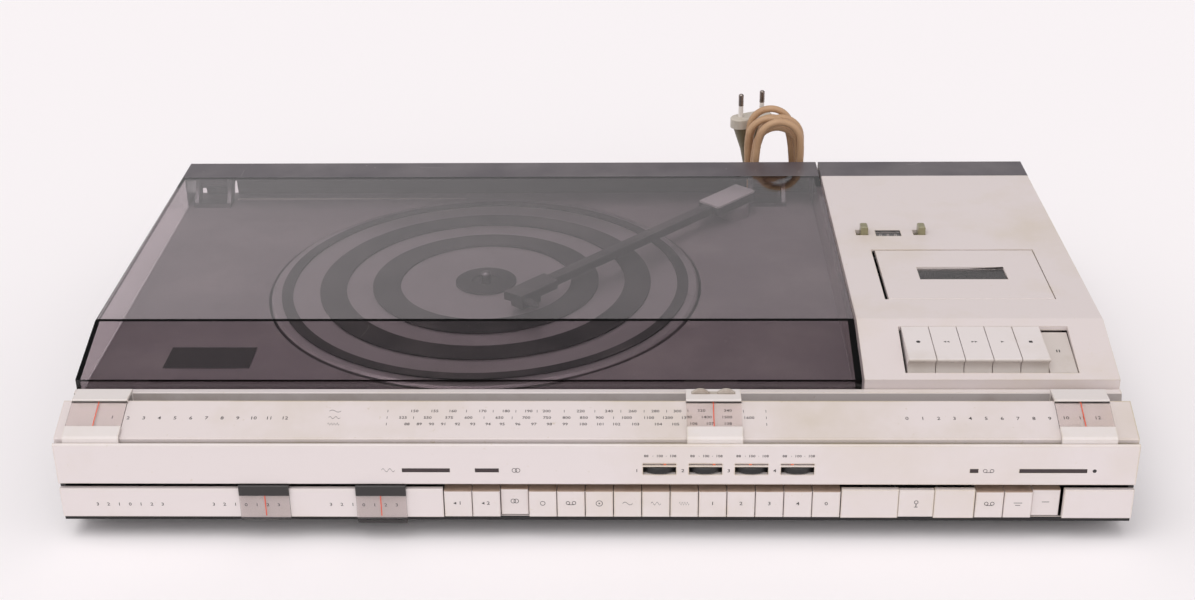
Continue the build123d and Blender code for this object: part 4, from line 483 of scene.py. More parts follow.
ARM_CAP = Finish("arm_cap", "arm_metal", shade(206, 200, 202), shade(150, 142, 136), 0.34,
                 metallic=0.5, stain=0.15, edge=0.3, grain=Grain.BRUSHED, dust=0.3)
SLIDER = Finish("slider_moulding", "slider_plastic", shade(222, 214, 211), YELLOWED, 0.34,
                stain=0.14, stain_scale=30.0, edge=0.45)
SLIDER_BLACK = Finish("slider_black", "slider_plastic", shade(44, 41, 41), shade(90, 86, 82), 0.35,
                      stain=0.1, edge=0.5)
WHEEL = Finish("thumbwheel", "wheel_plastic", shade(24, 23, 24), shade(80, 76, 72), 0.5,
               stain=0.15, edge=0.5, relief=0.3)
FINGER_WHEEL = Finish("finger_wheel", "slider_plastic", shade(188, 178, 168), BROWNED, 0.45,
                      stain=0.35, stain_scale=90.0, edge=0.6)
POINTER = Finish("pointer_orange", "pointer_plastic", shade(240, 122, 84), shade(170, 84, 60), 0.45,
                 stain=0.1, edge=0.2)
LEVER = Finish("lever_knob", "lever_plastic", shade(136, 130, 98), shade(92, 84, 54), 0.3,
               stain=0.3, stain_scale=120.0, edge=0.5, grain=Grain.SMOOTH, coat=0.3)
PLUG_BODY = Finish("plug_body", "plug_plastic", shade(120, 110, 86), shade(78, 70, 52), 0.45,
                   stain=0.35, stain_scale=60.0, edge=0.4)
PLUG_FACE = Finish("plug_face", "plug_plastic", shade(197, 188, 176), shade(150, 138, 112), 0.42,
                   stain=0.3, stain_scale=60.0, edge=0.4)
PIN_SLEEVE = Finish("pin_sleeve", "plug_plastic", shade(226, 220, 214), YELLOWED, 0.4, edge=0.3)
PIN_METAL = Finish("pin_metal", "plug_plastic", shade(148, 138, 132), shade(84, 74, 66), 0.3,
                   metallic=1.0, stain=0.35, stain_scale=150.0, edge=0.5, grain=Grain.SMOOTH)
SHEATH = Finish("lead_sheath", "cord_sheath", shade(186, 150, 116), shade(140, 98, 70), 0.48,
                stain=0.5, stain_scale=34.0, edge=0.0, grain=Grain.SMOOTH, relief=0.1)
CHASSIS = Finish("chassis_plate", "chassis", shade(96, 92, 84), shade(60, 54, 46), 0.45,
                 metallic=0.6, stain=0.25, edge=0.3)
BOARD = Finish("board_phenolic", "chassis", shade(132, 96, 52), shade(90, 60, 30), 0.5, stain=0.2)
WINDOW_DARK = Finish("indicator_dark", "front_metal", shade(58, 46, 48), shade(92, 80, 80), 0.18,
                     stain=0.1, edge=0.1, grain=Grain.SMOOTH)
PRINT = Finish("print_grey", "front_metal", shade(46, 43, 44), shade(120, 112, 108), 0.6,
               stain=0.25, stain_scale=220.0, edge=0.0, grain=Grain.SMOOTH)
PRINT_WHITE = Finish("print_white", "dark_case", shade(196, 190, 186), shade(120, 116, 112), 0.6,
                     stain=0.3, stain_scale=200.0, edge=0.0, grain=Grain.SMOOTH)
PRINT_BRIGHT = Finish("print_bright", "deck_metal", shade(214, 208, 202), YELLOWED, 0.5,
                      edge=0.0, grain=Grain.SMOOTH)
HAIRLINE = Finish("hairline_red", "slider_plastic", shade(232, 96, 66), shade(196, 90, 70), 0.45,
                  stain=0.15, edge=0.0, grain=Grain.SMOOTH)
SMOKE = ClearFinish("lid_smoke", "smoked_acrylic", shade(223, 215, 218), 0.0, 0.5,
                    passed=(0.875, 0.86, 0.865))
# The lid's front lip: a darker copy of the same smoked acrylic, painted shade that the lip shows.
LIP_SMOKE_SHADE = ClearFinish("lid_lip_smoke_shade", "smoked_acrylic", shade(166, 158, 161), 0.0, 0.3,
                        passed=(0.7, 0.69, 0.695))
CLEAR = ClearFinish("slider_window", "slider_plastic", shade(239, 234, 233), 0.04, 0.1,
                    passed=(0.96, 0.955, 0.955))
DOOR_GLASS = ClearFinish("door_window", "deck_metal", shade(222, 214, 212), 0.12, 0.55,
                         passed=(0.93, 0.93, 0.93))


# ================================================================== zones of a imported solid
ANYWHERE = (-1e4, 1e4)
FACING = 0.6  # least cosine between a face's normal and the way it has to look


@dataclass(frozen=True)
class BoxZone:
    """Faces whose middle lies in a box, in millimetres, and that may have to look one way."""

    x: Span = ANYWHERE
    y: Span = ANYWHERE
    z: Span = ANYWHERE
    facing: Point | None = None

    def holds(self, middle: Vector, normal: Vector) -> bool:
        """Say whether a face belongs to the zone.

        Args:
            middle: Middle of the face, in metres.
            normal: The way that it looks.

        Returns:
            Whether the zone holds it.
        """
        spans = (self.x, self.y, self.z)
        inside = all(low <= value / MM <= high for value, (low, high) in zip(middle, spans))
        return inside and (self.facing is None or normal.dot(Vector(self.facing)) > FACING)


@dataclass(frozen=True)
class RingZone:
    """Faces whose middle lies in a ring round the platter's axis, above a height."""

    inner: float
    outer: float
    above: float

    def holds(self, middle: Vector, normal: Vector) -> bool:
        """Say whether a face belongs to the zone."""
        across = math.dist(middle.xy / MM, PLATTER_CENTRE)
        return self.inner <= across <= self.outer and middle.z / MM >= self.above


Zone = BoxZone | RingZone


class Model:
    """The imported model, and how its nodes are dressed."""

    def __init__(self) -> None:
        """Load the frame."""
        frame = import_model()
        self.nodes: dict[str, bpy.types.Object] = frame["nodes"]
        self.low, self.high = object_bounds()

    def dress(self, node: str, base: AnyFinish, *zones: tuple[Zone, AnyFinish]) -> None:
        """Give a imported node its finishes.

        Args:
            node: Name of the node.
            base: Finish of all faces that no zone holds.
            *zones: Pairs of a zone and its finish. The last that holds a face counts.
        """
        piece = self.nodes[node]
        mesh = piece.data
        mesh.materials.clear()
        for finish in (base, *(finish for _, finish in zones)):
            mesh.materials.append(finish.material())
        for face in mesh.polygons:
            face.material_index = 0
            for number, (zone, _) in enumerate(zones, 1):
                if zone.holds(face.center, face.normal):
                    face.material_index = number
        LOG.info("dressed %s", node)


# ================================================================== meshes that the script adds
DISC_STEPS = 16
CIRCLE_STEPS = 18
WAVE_STEPS = 10  # in one wave
BAND_LINE = 0.3
KEY_LINE = 0.35
FIGURE_SHARE = 0.7  # height of a figure as a share of its font's size
FIGURE_WEIGHT = 0.02  # growth of a figure's outline, in millimetres


class Print:
    """Printed marks that lie on one flat face, as one thin solid mesh."""

    def __init__(
        self, name: str, origin: Point, across: Point = (1, 0, 0), up: Point = (0, 0, 1)
    ) -> None:
        """Start a print.

        Args:
            name: Name of the piece.
            origin: Where the face's own origin lies, in millimetres.
            across: Direction of the face's first axis.
            up: Direction of the face's second axis.
        """
        self.name = name
        first, second = Vector(across).normalized(), Vector(up).normalized()
        third = first.cross(second)
        self.place = moved(origin) @ Matrix(
            ((first.x, second.x, third.x, 0), (first.y, second.y, third.y, 0),
             (first.z, second.z, third.z, 0), (0, 0, 0, 1))
        ) @ Matrix.Scale(MM, 4)
        self.shape = bmesh.new()

    def patch(self, points: Iterable[tuple[float, float]]) -> None:
        """Add a filled outline.

        Args:
            points: Its corners, in millimetres on the face.
        """
        corners = [self.shape.verts.new((x, y, 0)) for x, y in points]
        face = self.shape.faces.new(corners)
        raised = bmesh.ops.extrude_face_region(self.shape, geom=[face])
        top = [part for part in raised["geom"] if isinstance(part, bmesh.types.BMVert)]
        bmesh.ops.translate(self.shape, verts=top, vec=(0, 0, INK))

    def bar(self, x: float, y: float, width: float, height: float) -> None:
        """Add a bar.

        Args:
            x: Its middle across the face, in millimetres.
            y: Its middle up the face.
            width: Width across the face.
            height: Height up the face.
        """
        low, high = y - height / 2, y + height / 2
        left, right = x - width / 2, x + width / 2
        self.patch([(left, low), (right, low), (right, high), (left, high)])

    def disc(self, x: float, y: float, radius: float) -> None:
        """Add a filled circle."""
        turns = [math.tau * step / DISC_STEPS for step in range(DISC_STEPS)]
        self.patch([(x + radius * math.cos(a), y + radius * math.sin(a)) for a in turns])

    def circle(self, x: float, y: float, radius: float, line: float = KEY_LINE) -> None:
        """Add the line of a circle.

        Args:
            x: Its middle across the face, in millimetres.
            y: Its middle up the face.
            radius: Radius of the line's middle.
            line: Width of the line.
        """
        inner, outer = radius - line / 2, radius + line / 2
        for step in range(CIRCLE_STEPS):
            first, second = (math.tau * end / CIRCLE_STEPS for end in (step, step + 1))
            ring = [(inner, first), (outer, first), (outer, second), (inner, second)]
            self.patch([(x + r * math.cos(a), y + r * math.sin(a)) for r, a in ring])

    def wave(self, x: float, y: float, width: float, height: float, cycles: int) -> None:
        """Add a wavy line.

        Args:
            x: Its middle across the face, in millimetres.
            y: Its middle up the face.
            width: Width of the whole.
            height: Height from trough to crest.
            cycles: Number of waves.
        """
        count = cycles * WAVE_STEPS
        half = BAND_LINE / 2
        line = []
        for step in range(count + 1):
            share = step / count
            rise = height / 2 * math.sin(math.tau * cycles * share)
            line.append((x + width * (share - 0.5), y + rise))
        for (x1, y1), (x2, y2) in zip(line, line[1:]):
            self.patch([(x1, y1 - half), (x2, y2 - half), (x2, y2 + half), (x1, y1 + half)])

    def arrow(self, x: float, y: float, size: float, way: int) -> None:
        """Add a triangle that points left or right.

        Args:
            x: Its middle across the face, in millimetres.
            y: Its middle up the face.
            size: Its width and height.
            way: -1 if it points left, 1 if right.
        """
        tip, base = x + way * size / 2, x - way * size / 2
        points = [(base, y - size / 2), (tip, y), (base, y + size / 2)]
        self.patch(points if way > 0 else points[::-1])

    def numeral(
        self, text: str, x: float, y: float, height: float = 2.3, stretch: float = 1.25
    ) -> None:
        """Add plain figures.

        Args:
            text: The figures.
            x: Its middle across the face, in millimetres.
            y: Its middle up the face.
            height: Height of a figure.
            stretch: How much wider they are than the font's own.
        """
        curve = bpy.data.curves.new("figures", "FONT")
        curve.body = text
        curve.size = height / FIGURE_SHARE
        curve.align_x, curve.align_y = "CENTER", "CENTER"
        curve.resolution_u = 2
        curve.offset = FIGURE_WEIGHT
        curve.extrude = INK / 2
        holder = bpy.data.objects.new("figures", curve)
        mesh = bpy.data.meshes.new_from_object(holder)
        mesh.transform(Matrix.Translation((x, y, INK / 2)) @ Matrix.Diagonal((stretch, 1, 1, 1)))
        self.shape.from_mesh(mesh)
        bpy.data.objects.remove(holder)
        bpy.data.curves.remove(curve)
        bpy.data.meshes.remove(mesh)

    def done(self, body: str, finish: Finish = PRINT) -> bpy.types.Object:
        """Make the piece, and let it ride on a body.

        Args:
            body: Body that carries it.
            finish: Finish of the marks.

        Returns:
            The new object.
        """
        bmesh.ops.recalc_face_normals(self.shape, faces=self.shape.faces[:])
        self.shape.transform(self.place)
        return add_piece(self.name, self.shape, body, finish)


def add_piece(
    name: str, shape: bmesh.types.BMesh, body: str, finish: AnyFinish, smooth: bool = False
) -> bpy.types.Object:
    """Turn a mesh under construction into a piece that rides on a body.

    Args:
        name: Name of the piece.
        shape: The mesh, in metres.
        body: Body that carries it.
        finish: Its finish.
        smooth: Whether its faces are shaded as one round surface.

    Returns:
        The new object.
    """
    mesh = bpy.data.meshes.new(name)
    shape.to_mesh(mesh)
    shape.free()
    mesh.materials.append(finish.material())
    if smooth:
        mesh.shade_smooth()
    piece = show(name, mesh)
    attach(piece, body)
    LOG.info("added %s on %s", name, body)
    return piece


def turned(outline: list[tuple[float, float]], place: Matrix, steps: int = 24) -> bmesh.types.BMesh:
    """Turn an outline of (radius, height) points about its own axis.

    Args:
        outline: Points from one end of the axis to the other, in millimetres.
        place: Where the turned solid goes.
        steps: Sides of the round.

    Returns:
        The mesh, in metres.
    """
    shape = bmesh.new()
    rings = []
    for radius, height in outline:
        if radius == 0:
            rings.append([shape.verts.new((0, 0, height))])
        else:
            turns = [math.tau * step / steps for step in range(steps)]
            spots = [(radius * math.cos(a), radius * math.sin(a), height) for a in turns]
            rings.append([shape.verts.new(spot) for spot in spots])
    for lower, upper in zip(rings, rings[1:]):
        for step in range(steps):
            after = (step + 1) % steps
            corners = [lower[step % len(lower)], lower[after % len(lower)],
                       upper[after % len(upper)], upper[step % len(upper)]]
            shape.faces.new(list(dict.fromkeys(corners)))
    bmesh.ops.recalc_face_normals(shape, faces=shape.faces[:])
    shape.transform(place @ Matrix.Scale(MM, 4))
    return shape


# ================================================================== sub-assemblies
@dataclass
class SubAssembly:
    """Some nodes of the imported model, and the pieces that belong with them."""

    model: Model


@dataclass
class Case(SubAssembly):
    """Case, front face and rear panel."""

    figure_height: float = 2.1
    tone_scales: dict = field(default_factory=lambda: {-278.6: 6.55, -208.4: 6.55, -137.6: 6.6})
    tone_z: float = 24.9
    sign_z: float = 49.05
    screw_radius: float = 3.2

    def build(self) -> None:
        """Dress the case and add its marks and screws."""
        self.model.dress("base_tray", CASE)
        self.model.dress("rubber_feet", RUBBER)
        self.model.dress("rear_panel", CASE)
        front_faces = BoxZone(y=(FRONT - 1, FRONT + 3.01), z=(16, STRIP_TOP + 0.1))
        self.model.dress("lower_strip", SHADOW_TRIM, (front_faces, PANEL))
        windows = BoxZone(y=(FRONT + 0.2, FRONT + 2.4), z=(47.6, 50.5))
        self.model.dress("front_panel", PANEL, (windows, WINDOW_DARK))
        self.model.dress("inner_chassis", CHASSIS, (BoxZone(x=(-301, 151), z=(19.9, 21.7)), BOARD))
        self.front_marks()
        self.rear_marks()
        self.screws()

    def front_marks(self) -> None:
        """Print the figures of the tone scales and the signs beside the indicators."""
        strip = Print("tone_scales", (0, FRONT, 0))
        for zero, pitch in self.tone_scales.items():
            for step in range(-3, 4):
                strip.numeral(str(abs(step)), zero + step * pitch, self.tone_z, self.figure_height)
        strip.done(CABINET)
        band = Print("band_signs", (0, FRONT, 0))
        band.wave(-121.5, self.sign_z, 8, 2.2, 2)
        for x, radius in ((-46.5, 1.4), (-44.6, 1.4), (231.0, 1.1), (235.0, 1.1)):
            band.circle(x, self.sign_z, radius, BAND_LINE)
        band.bar(233.0, self.sign_z - 1.1, 4.0, BAND_LINE)
        band.disc(295.0, self.sign_z, 1.2)
        band.done(CABINET)

    def rear_marks(self) -> None:
        """Print plain figures over the sockets of the rear panel."""
        rear = Print("socket_figures", (0, BACK - 1.5, 0), across=(-1, 0, 0))
        for number in range(6):
            rear.numeral(str(number + 1), 260.0 - 30 * number, 47.5, 3.0)
        rear.done(CABINET, PRINT_WHITE)

    def screws(self) -> None:
        """Add the screws of the rear panel and the underside."""
        head = [(0, 1.0), (0.9, 1.0), (2.2, 0.75), (self.screw_radius, 0.0), (0, 0)]
        spots = [(x, BACK - 1.5, z) for x in (-312, -90, 60, 312) for z in (15, 59)]
        self.screw_set("rear_screws", head, spots, Matrix.Rotation(-math.pi / 2, 4, "X"))
        under = [(x, y, 8.0) for x in (-300, 0, 300) for y in (-158, 20, 172)]
        self.screw_set("base_screws", head, under, Matrix.Rotation(math.pi, 4, "X"))

    def screw_set(self, name: str, head: list, spots: list[Point], turn: Matrix) -> None:
        """Add one set of screws as a single piece.

        Args:
            name: Name of the piece.
            head: Outline of a head, as radius and height.
            spots: Where the heads sit.
            turn: Rotation from +Z to the way the heads look.
        """
        whole = bmesh.new()
        for spot in spots:
            one = turned(head, moved(spot) @ turn, 16)
            mesh = bpy.data.meshes.new("screw")
            one.to_mesh(mesh)
            one.free()
            whole.from_mesh(mesh)
            bpy.data.meshes.remove(mesh)
        add_piece(name, whole, CABINET, STEEL)


@dataclass
class Dial(SubAssembly):
    """Sloping dial plate with its printed scales, and the rail behind it."""

    rows: dict = field(default_factory=lambda: {
        -162.9: (("150", -107.0), ("155", -94.9), ("160", -84.1), ("170", -66.2), ("180", -52.2),
                 ("190", -38.7), ("200", -27.8), ("220", -7.5), ("240", 9.4), ("260", 23.5),
                 ("280", 37.1), ("300", 50.2), ("320", 64.5), ("340", 80.2)),
        -167.6: (("525", -113.4), ("550", -98.7), ("575", -85.8), ("600", -74.3), ("650", -55.8),
                 ("700", -39.8), ("750", -27.4), ("800", -15.8), ("850", -5.5), ("900", 3.9),
                 ("1000", 19.9), ("1100", 33.1), ("1200", 44.3), ("1300", 55.5), ("1400", 67.3),
                 ("1500", 79.5), ("1600", 92.6)),
        -172.2: (("88", -110.6), ("89", -103.3), ("90", -96.0), ("91", -88.8), ("92", -80.5),
                 ("93", -71.4), ("94", -62.3), ("95", -53.9), ("96", -44.6), ("97", -35.1),
                 ("98", -25.9), ("99", -16.5), ("100", -5.9), ("101", 4.4), ("102", 13.9),
                 ("103", 25.2), ("104", 38.6), ("105", 48.9), ("106", 59.6), ("107", 69.3),
                 ("108", 79.9)),
    })
    ticks: dict = field(default_factory=lambda: {
        -162.9: (-75.8, -59.8, -46.2, -33.5, -17.3, 1.0, 16.5, 30.4, 43.8, 56.5, 89.5),
        -167.6: (-107.1, -65.0, -48.2, 12.2),
        -172.2: (),
    })
    first_tick: float = -122.9
    last_tick: float = 102.9
    band_sign_x: float = -154.5
    level_y: float = -168.0
    level_zero: float = 186.0
    level_pitch: float = 9.35
    volume_zero: float = -297.2
    volume_pitch: float = 9.42

    @staticmethod
    def up_slope(y: float) -> float:
        """Distance up the plate of a point at a given Y."""
        return (y - DIAL_EDGE) * DIAL_STRETCH

    def build(self) -> None:
        """Dress plate and rail and print the scales."""
        self.model.dress("dial_plate", DIAL)
        # the rail's channel floor takes the painted shade
        floor = BoxZone(y=(-153.0, -137.0), z=(66.0, 73.0))
        self.model.dress("trim_rail", PANEL, (floor, CHANNEL_SHADE))
        scale = Print("dial_scales", (0, DIAL_EDGE, DIAL_FRONT_Z), up=(0, 1, DIAL_SLOPE))
        for y, figures in self.rows.items():
            for text, x in figures:
                scale.numeral(text, x, self.up_slope(y), 1.9, 1.2)
            for x in (*self.ticks[y], self.first_tick, self.last_tick):
                scale.bar(x, self.up_slope(y), 0.3, 1.9)
        for y, cycles in zip(self.rows, (1, 2, 4)):
            scale.wave(self.band_sign_x, self.up_slope(y), 7.0, 1.6, cycles)
        for step in range(13):
            height = self.up_slope(self.level_y)
            if step:
                scale.numeral(str(step), self.volume_zero + self.volume_pitch * step, height)
            scale.numeral(str(step), self.level_zero + self.level_pitch * step, height)
        scale.done(CABINET)


@dataclass
class Sliders(SubAssembly):
    """The five sliders with their clear windows and red hairlines."""

    pane_y: Span = (-176.0, -157.9)
    hairlines: dict = field(default_factory=lambda: {
        "volume_slider": -297.8, "tuning_slider": 71.7, "level_slider": 289.8})
    tone_lines: dict = field(default_factory=lambda: {
        "treble_slider": -196.5, "balance_slider": -127.0})
    header_z: float = 31.9
    bar_z: float = 15.0

    def build(self) -> None:
        """Dress the sliders and add the lines."""
        pane = BoxZone(y=(self.pane_y[0] + 0.05, self.pane_y[1] - 0.05))
        for name, x in self.hairlines.items():
            zones = [(pane, CLEAR)]
            if name == "tuning_slider":
                wheel = BoxZone(y=(-150.5, -147.7), z=(70.0, 84.0))
                zones.append((wheel, FINGER_WHEEL))
            self.model.dress(name, SLIDER, *zones)
            low, high = (Dial.up_slope(y) for y in self.pane_y)
            spot = (x, DIAL_EDGE, DIAL_FRONT_Z + PANE_LIFT)
            line = Print(f"{name}_line", spot, up=(0, 1, DIAL_SLOPE))
            line.bar(0, (low + high) / 2, 0.6, high - low - 0.6)
            line.done(f"{name}_body", HAIRLINE)
        for name, x in self.tone_lines.items():
            clear = BoxZone(y=(FRONT - 2, FRONT), z=(self.bar_z, self.header_z))
            self.model.dress(name, SLIDER_BLACK, (clear, CLEAR))
            line = Print(f"{name}_line", (x, FRONT - 1.5, 0))
            line.bar(0, (self.header_z + self.bar_z + 3) / 2, 0.6, self.header_z - self.bar_z - 3)
            line.done(f"{name}_body", HAIRLINE)


@dataclass
class Presets(SubAssembly):
    """Four station presets: thumbwheels, orange pointers and their scales."""

    lefts: tuple = (29.6, 56.8, 83.9, 111.0)
    slot: float = 19.6
    scale_z: float = 59.0
    figure_z: float = 48.9

    def build(self) -> None:
        """Dress wheels and pointers and print the scales."""
        band = Print("preset_scales", (0, FRONT, 0))
        for index, left in enumerate(self.lefts, 1):
            self.model.dress(f"program_wheel_{index}", WHEEL)
            self.model.dress(f"program_pointer_{index}", POINTER)
            middle = left + self.slot / 2
            for text, share in (("88", -0.4), ("100", 0.0), ("108", 0.4)):
                band.numeral(text, middle + share * self.slot, self.scale_z, 1.6, 1.2)
            for share in (-0.2, 0.2):
                band.disc(middle + share * self.slot, self.scale_z, 0.2)
            band.numeral(str(index), left - 3.6, self.figure_z, 2.1)
        band.done(CABINET)


@dataclass
class FrontKeys(SubAssembly):
    """The push keys of the front row and the microphone flap."""

    left: float = -89.4
    pitch: float = 16.9
    tape_left: float = 226.9
    latch: float = 2.5
    sign_z: float = 26.0
    source: tuple = ("speaker_key_1", "speaker_key_2", "afc_key", "mono_key", "tape_key", "phono_key",
                     "long_wave_key", "medium_wave_key", "fm_key", "program_key_1", "program_key_2",
                     "program_key_3", "program_key_4", "power_key")
    tape: tuple = ("tape_motor_key", "noise_filter_key", "tape_type_key")
    latched: tuple = ("afc_key", "tape_type_key")

    def build(self) -> None:
        """Dress the keys and print their signs."""
        # the keys' top faces take painted shade of the gap under the band, with their soiling
        top = BoxZone(facing=(0, 0, 1))
        for first, names in ((self.left, self.source), (self.tape_left, self.tape)):
            for index, name in enumerate(names):
                self.model.dress(name, KEY, (top, KEY_TOP_SHADE_AND_SOIL))
                front = FRONT + (self.latch if name in self.latched else 0.0)
                sign = Print(f"{name}_sign", (first + (index + 0.5) * self.pitch, front, self.sign_z))
                self.draw(sign, name)
                sign.done(f"{name}_body")
        self.model.dress("mic_flap", KEY)
        flap = Print("mic_flap_sign", (192.05, FRONT, self.sign_z))
        flap.circle(0, 1.2, 1.1)
        flap.bar(0, -1.0, 0.5, 2.2)
        flap.bar(0, -2.2, 2.2, KEY_LINE)
        flap.done("mic_flap_body")

    @staticmethod
    def draw(sign: Print, name: str) -> None:
        """Draw the plain sign of one key.

        Args:
            sign: Print that the sign goes into.
            name: Node of the key.
        """
        if name.startswith("speaker"):
            sign.arrow(-2.0, 0, 1.8, -1)
            sign.numeral(name[-1], 1.2, 0)
        elif name.startswith("program"):
            sign.numeral(name[-1], 0, 0)
        elif name in ("afc_key", "mono_key"):
            for x in ((-0.9, 0.9) if name == "afc_key" else (0.0,)):
                sign.circle(x, 0, 1.4)
        elif name in ("tape_key", "tape_motor_key"):
            for x in (-1.8, 1.8):
                sign.circle(x, 0.3, 1.1)
            sign.bar(0, -0.95, 3.6, KEY_LINE)
        elif name == "phono_key":
            sign.circle(0, 0, 1.9)
            sign.disc(0, 0, 0.5)
        elif name in ("long_wave_key", "medium_wave_key", "fm_key"):
            cycles = {"long_wave_key": 1, "medium_wave_key": 2, "fm_key": 4}[name]
            sign.wave(0, 0, 6.0, 2.0, cycles)
        elif name == "noise_filter_key":
            sign.bar(0, 0.8, 5.0, KEY_LINE)
            sign.bar(0, -0.8, 3.0, KEY_LINE)
        elif name == "tape_type_key":
            sign.bar(0, 0, 4.4, KEY_LINE)
        else:
            sign.numeral("0", 0, 0)


@dataclass
class CassetteDeck(SubAssembly):
    """Deck cover, cassette door and well, piano keys, counter and levers."""

    well_left: float = 190.4
    side_gap: float = 1.5
    pitch: float = 17.35
    keys: tuple = ("record_key", "rewind_key", "forward_key", "play_key", "stop_key", "pause_key")
    rod: tuple = (-60.0, 84.0)
    top_y: float = -104.0
    top_z: float = 91.73
    top_slope: float = 0.0741
    pressed: float = 8.0
    spindles: tuple = (220.4, 262.9)
    spindle_y: float = -15.0
    spindle_size: float = 5.1

    def build(self) -> None:
        """Dress the deck and print its signs."""
        strip = BoxZone(y=(159.45, 189), z=(93.95, 96))
        window = BoxZone(x=(192.9, 210.6), y=(48.7, 58.5), z=(92.9, 94.3))
        drums = BoxZone(x=(192.9, 210.6), y=(48.7, 58.5), z=(82, 92.7))
        self.model.dress("deck_cover", DECK, (strip, REAR_STRIP), (window, CLEAR), (drums, WHEEL))
        pane = BoxZone(x=(213.4, 271.6), y=(-21.3, -2.1), z=(92.3, 93.9))
        self.model.dress("cassette_door", DECK, (pane, DOOR_GLASS))
        zones = []
        size = self.spindle_size
        for x in self.spindles:
            spindle = BoxZone(
                x=(x - size, x + size), y=(self.spindle_y - size, self.spindle_y + size), z=(76.1, 85))
            zones.append((spindle, SPINDLE))
        heads = BoxZone(x=(200, 290), y=(-50.6, -44.4), z=(76.1, 82.1))
        self.model.dress("cassette_well", WELL, (heads, HEAD_METAL), *zones)
        for name in ("counter_reset_lever", "memory_lever"):
            self.model.dress(name, LEVER)
        self.counter()
        for index, name in enumerate(self.keys):
            # the pressed pause key is painted darker as shade, and every key's front faces take
            # painted shade
            base = PIANO_WORN_AND_SHADED if name == "pause_key" else PIANO
            self.model.dress(name, base, (BoxZone(facing=(0, -1, 0)), PIANO_LIP_SHADE))
            self.key_sign(index, name)

    def counter(self) -> None:
        """Print the figures on the counter's drums."""
        drum_top = Print("counter_figures", (0, 53.6, 92.6), up=(0, 1, 0))
        for drum in range(3):
            drum_top.numeral("0", 193.0 + 1.2 + 2.4 + drum * 5.2, 0, 3.4, 0.9)
        drum_top.done(CABINET, PRINT_BRIGHT)

    def key_sign(self, index: int, name: str) -> None:
        """Print one piano key's sign, tipped with a key that stands pressed.

        Args:
            index: Place of the key, counted from the left.
            name: Node of the key.
        """
        x = self.well_left + self.side_gap + (index + 0.5) * self.pitch
        spot = Vector((0, self.top_y - self.rod[0], self.top_z - self.rod[1]))
        up = Vector((0, 1, self.top_slope))
        if name == "pause_key":
            turn = Matrix.Rotation(math.radians(self.pressed), 3, "X")
            spot, up = turn @ spot, turn @ up
        origin = (x, spot.y + self.rod[0], spot.z + self.rod[1])
        sign = Print(f"{name}_sign", origin, up=tuple(up))
        if name == "record_key":
            sign.disc(0, 0, 1.3)
        elif name in ("rewind_key", "forward_key"):
            way = -1 if name == "rewind_key" else 1
            for place in (-1.0, 1.0):
                sign.arrow(place, 0, 1.7, way)
        elif name == "play_key":
            sign.arrow(0, 0, 1.9, 1)
        elif name == "stop_key":
            sign.bar(0, 0, 2.2, 2.2)
        else:
            for place in (-0.8, 0.8):
                sign.bar(place, 0, 0.7, 2.4)
        sign.done(f"{name}_body")


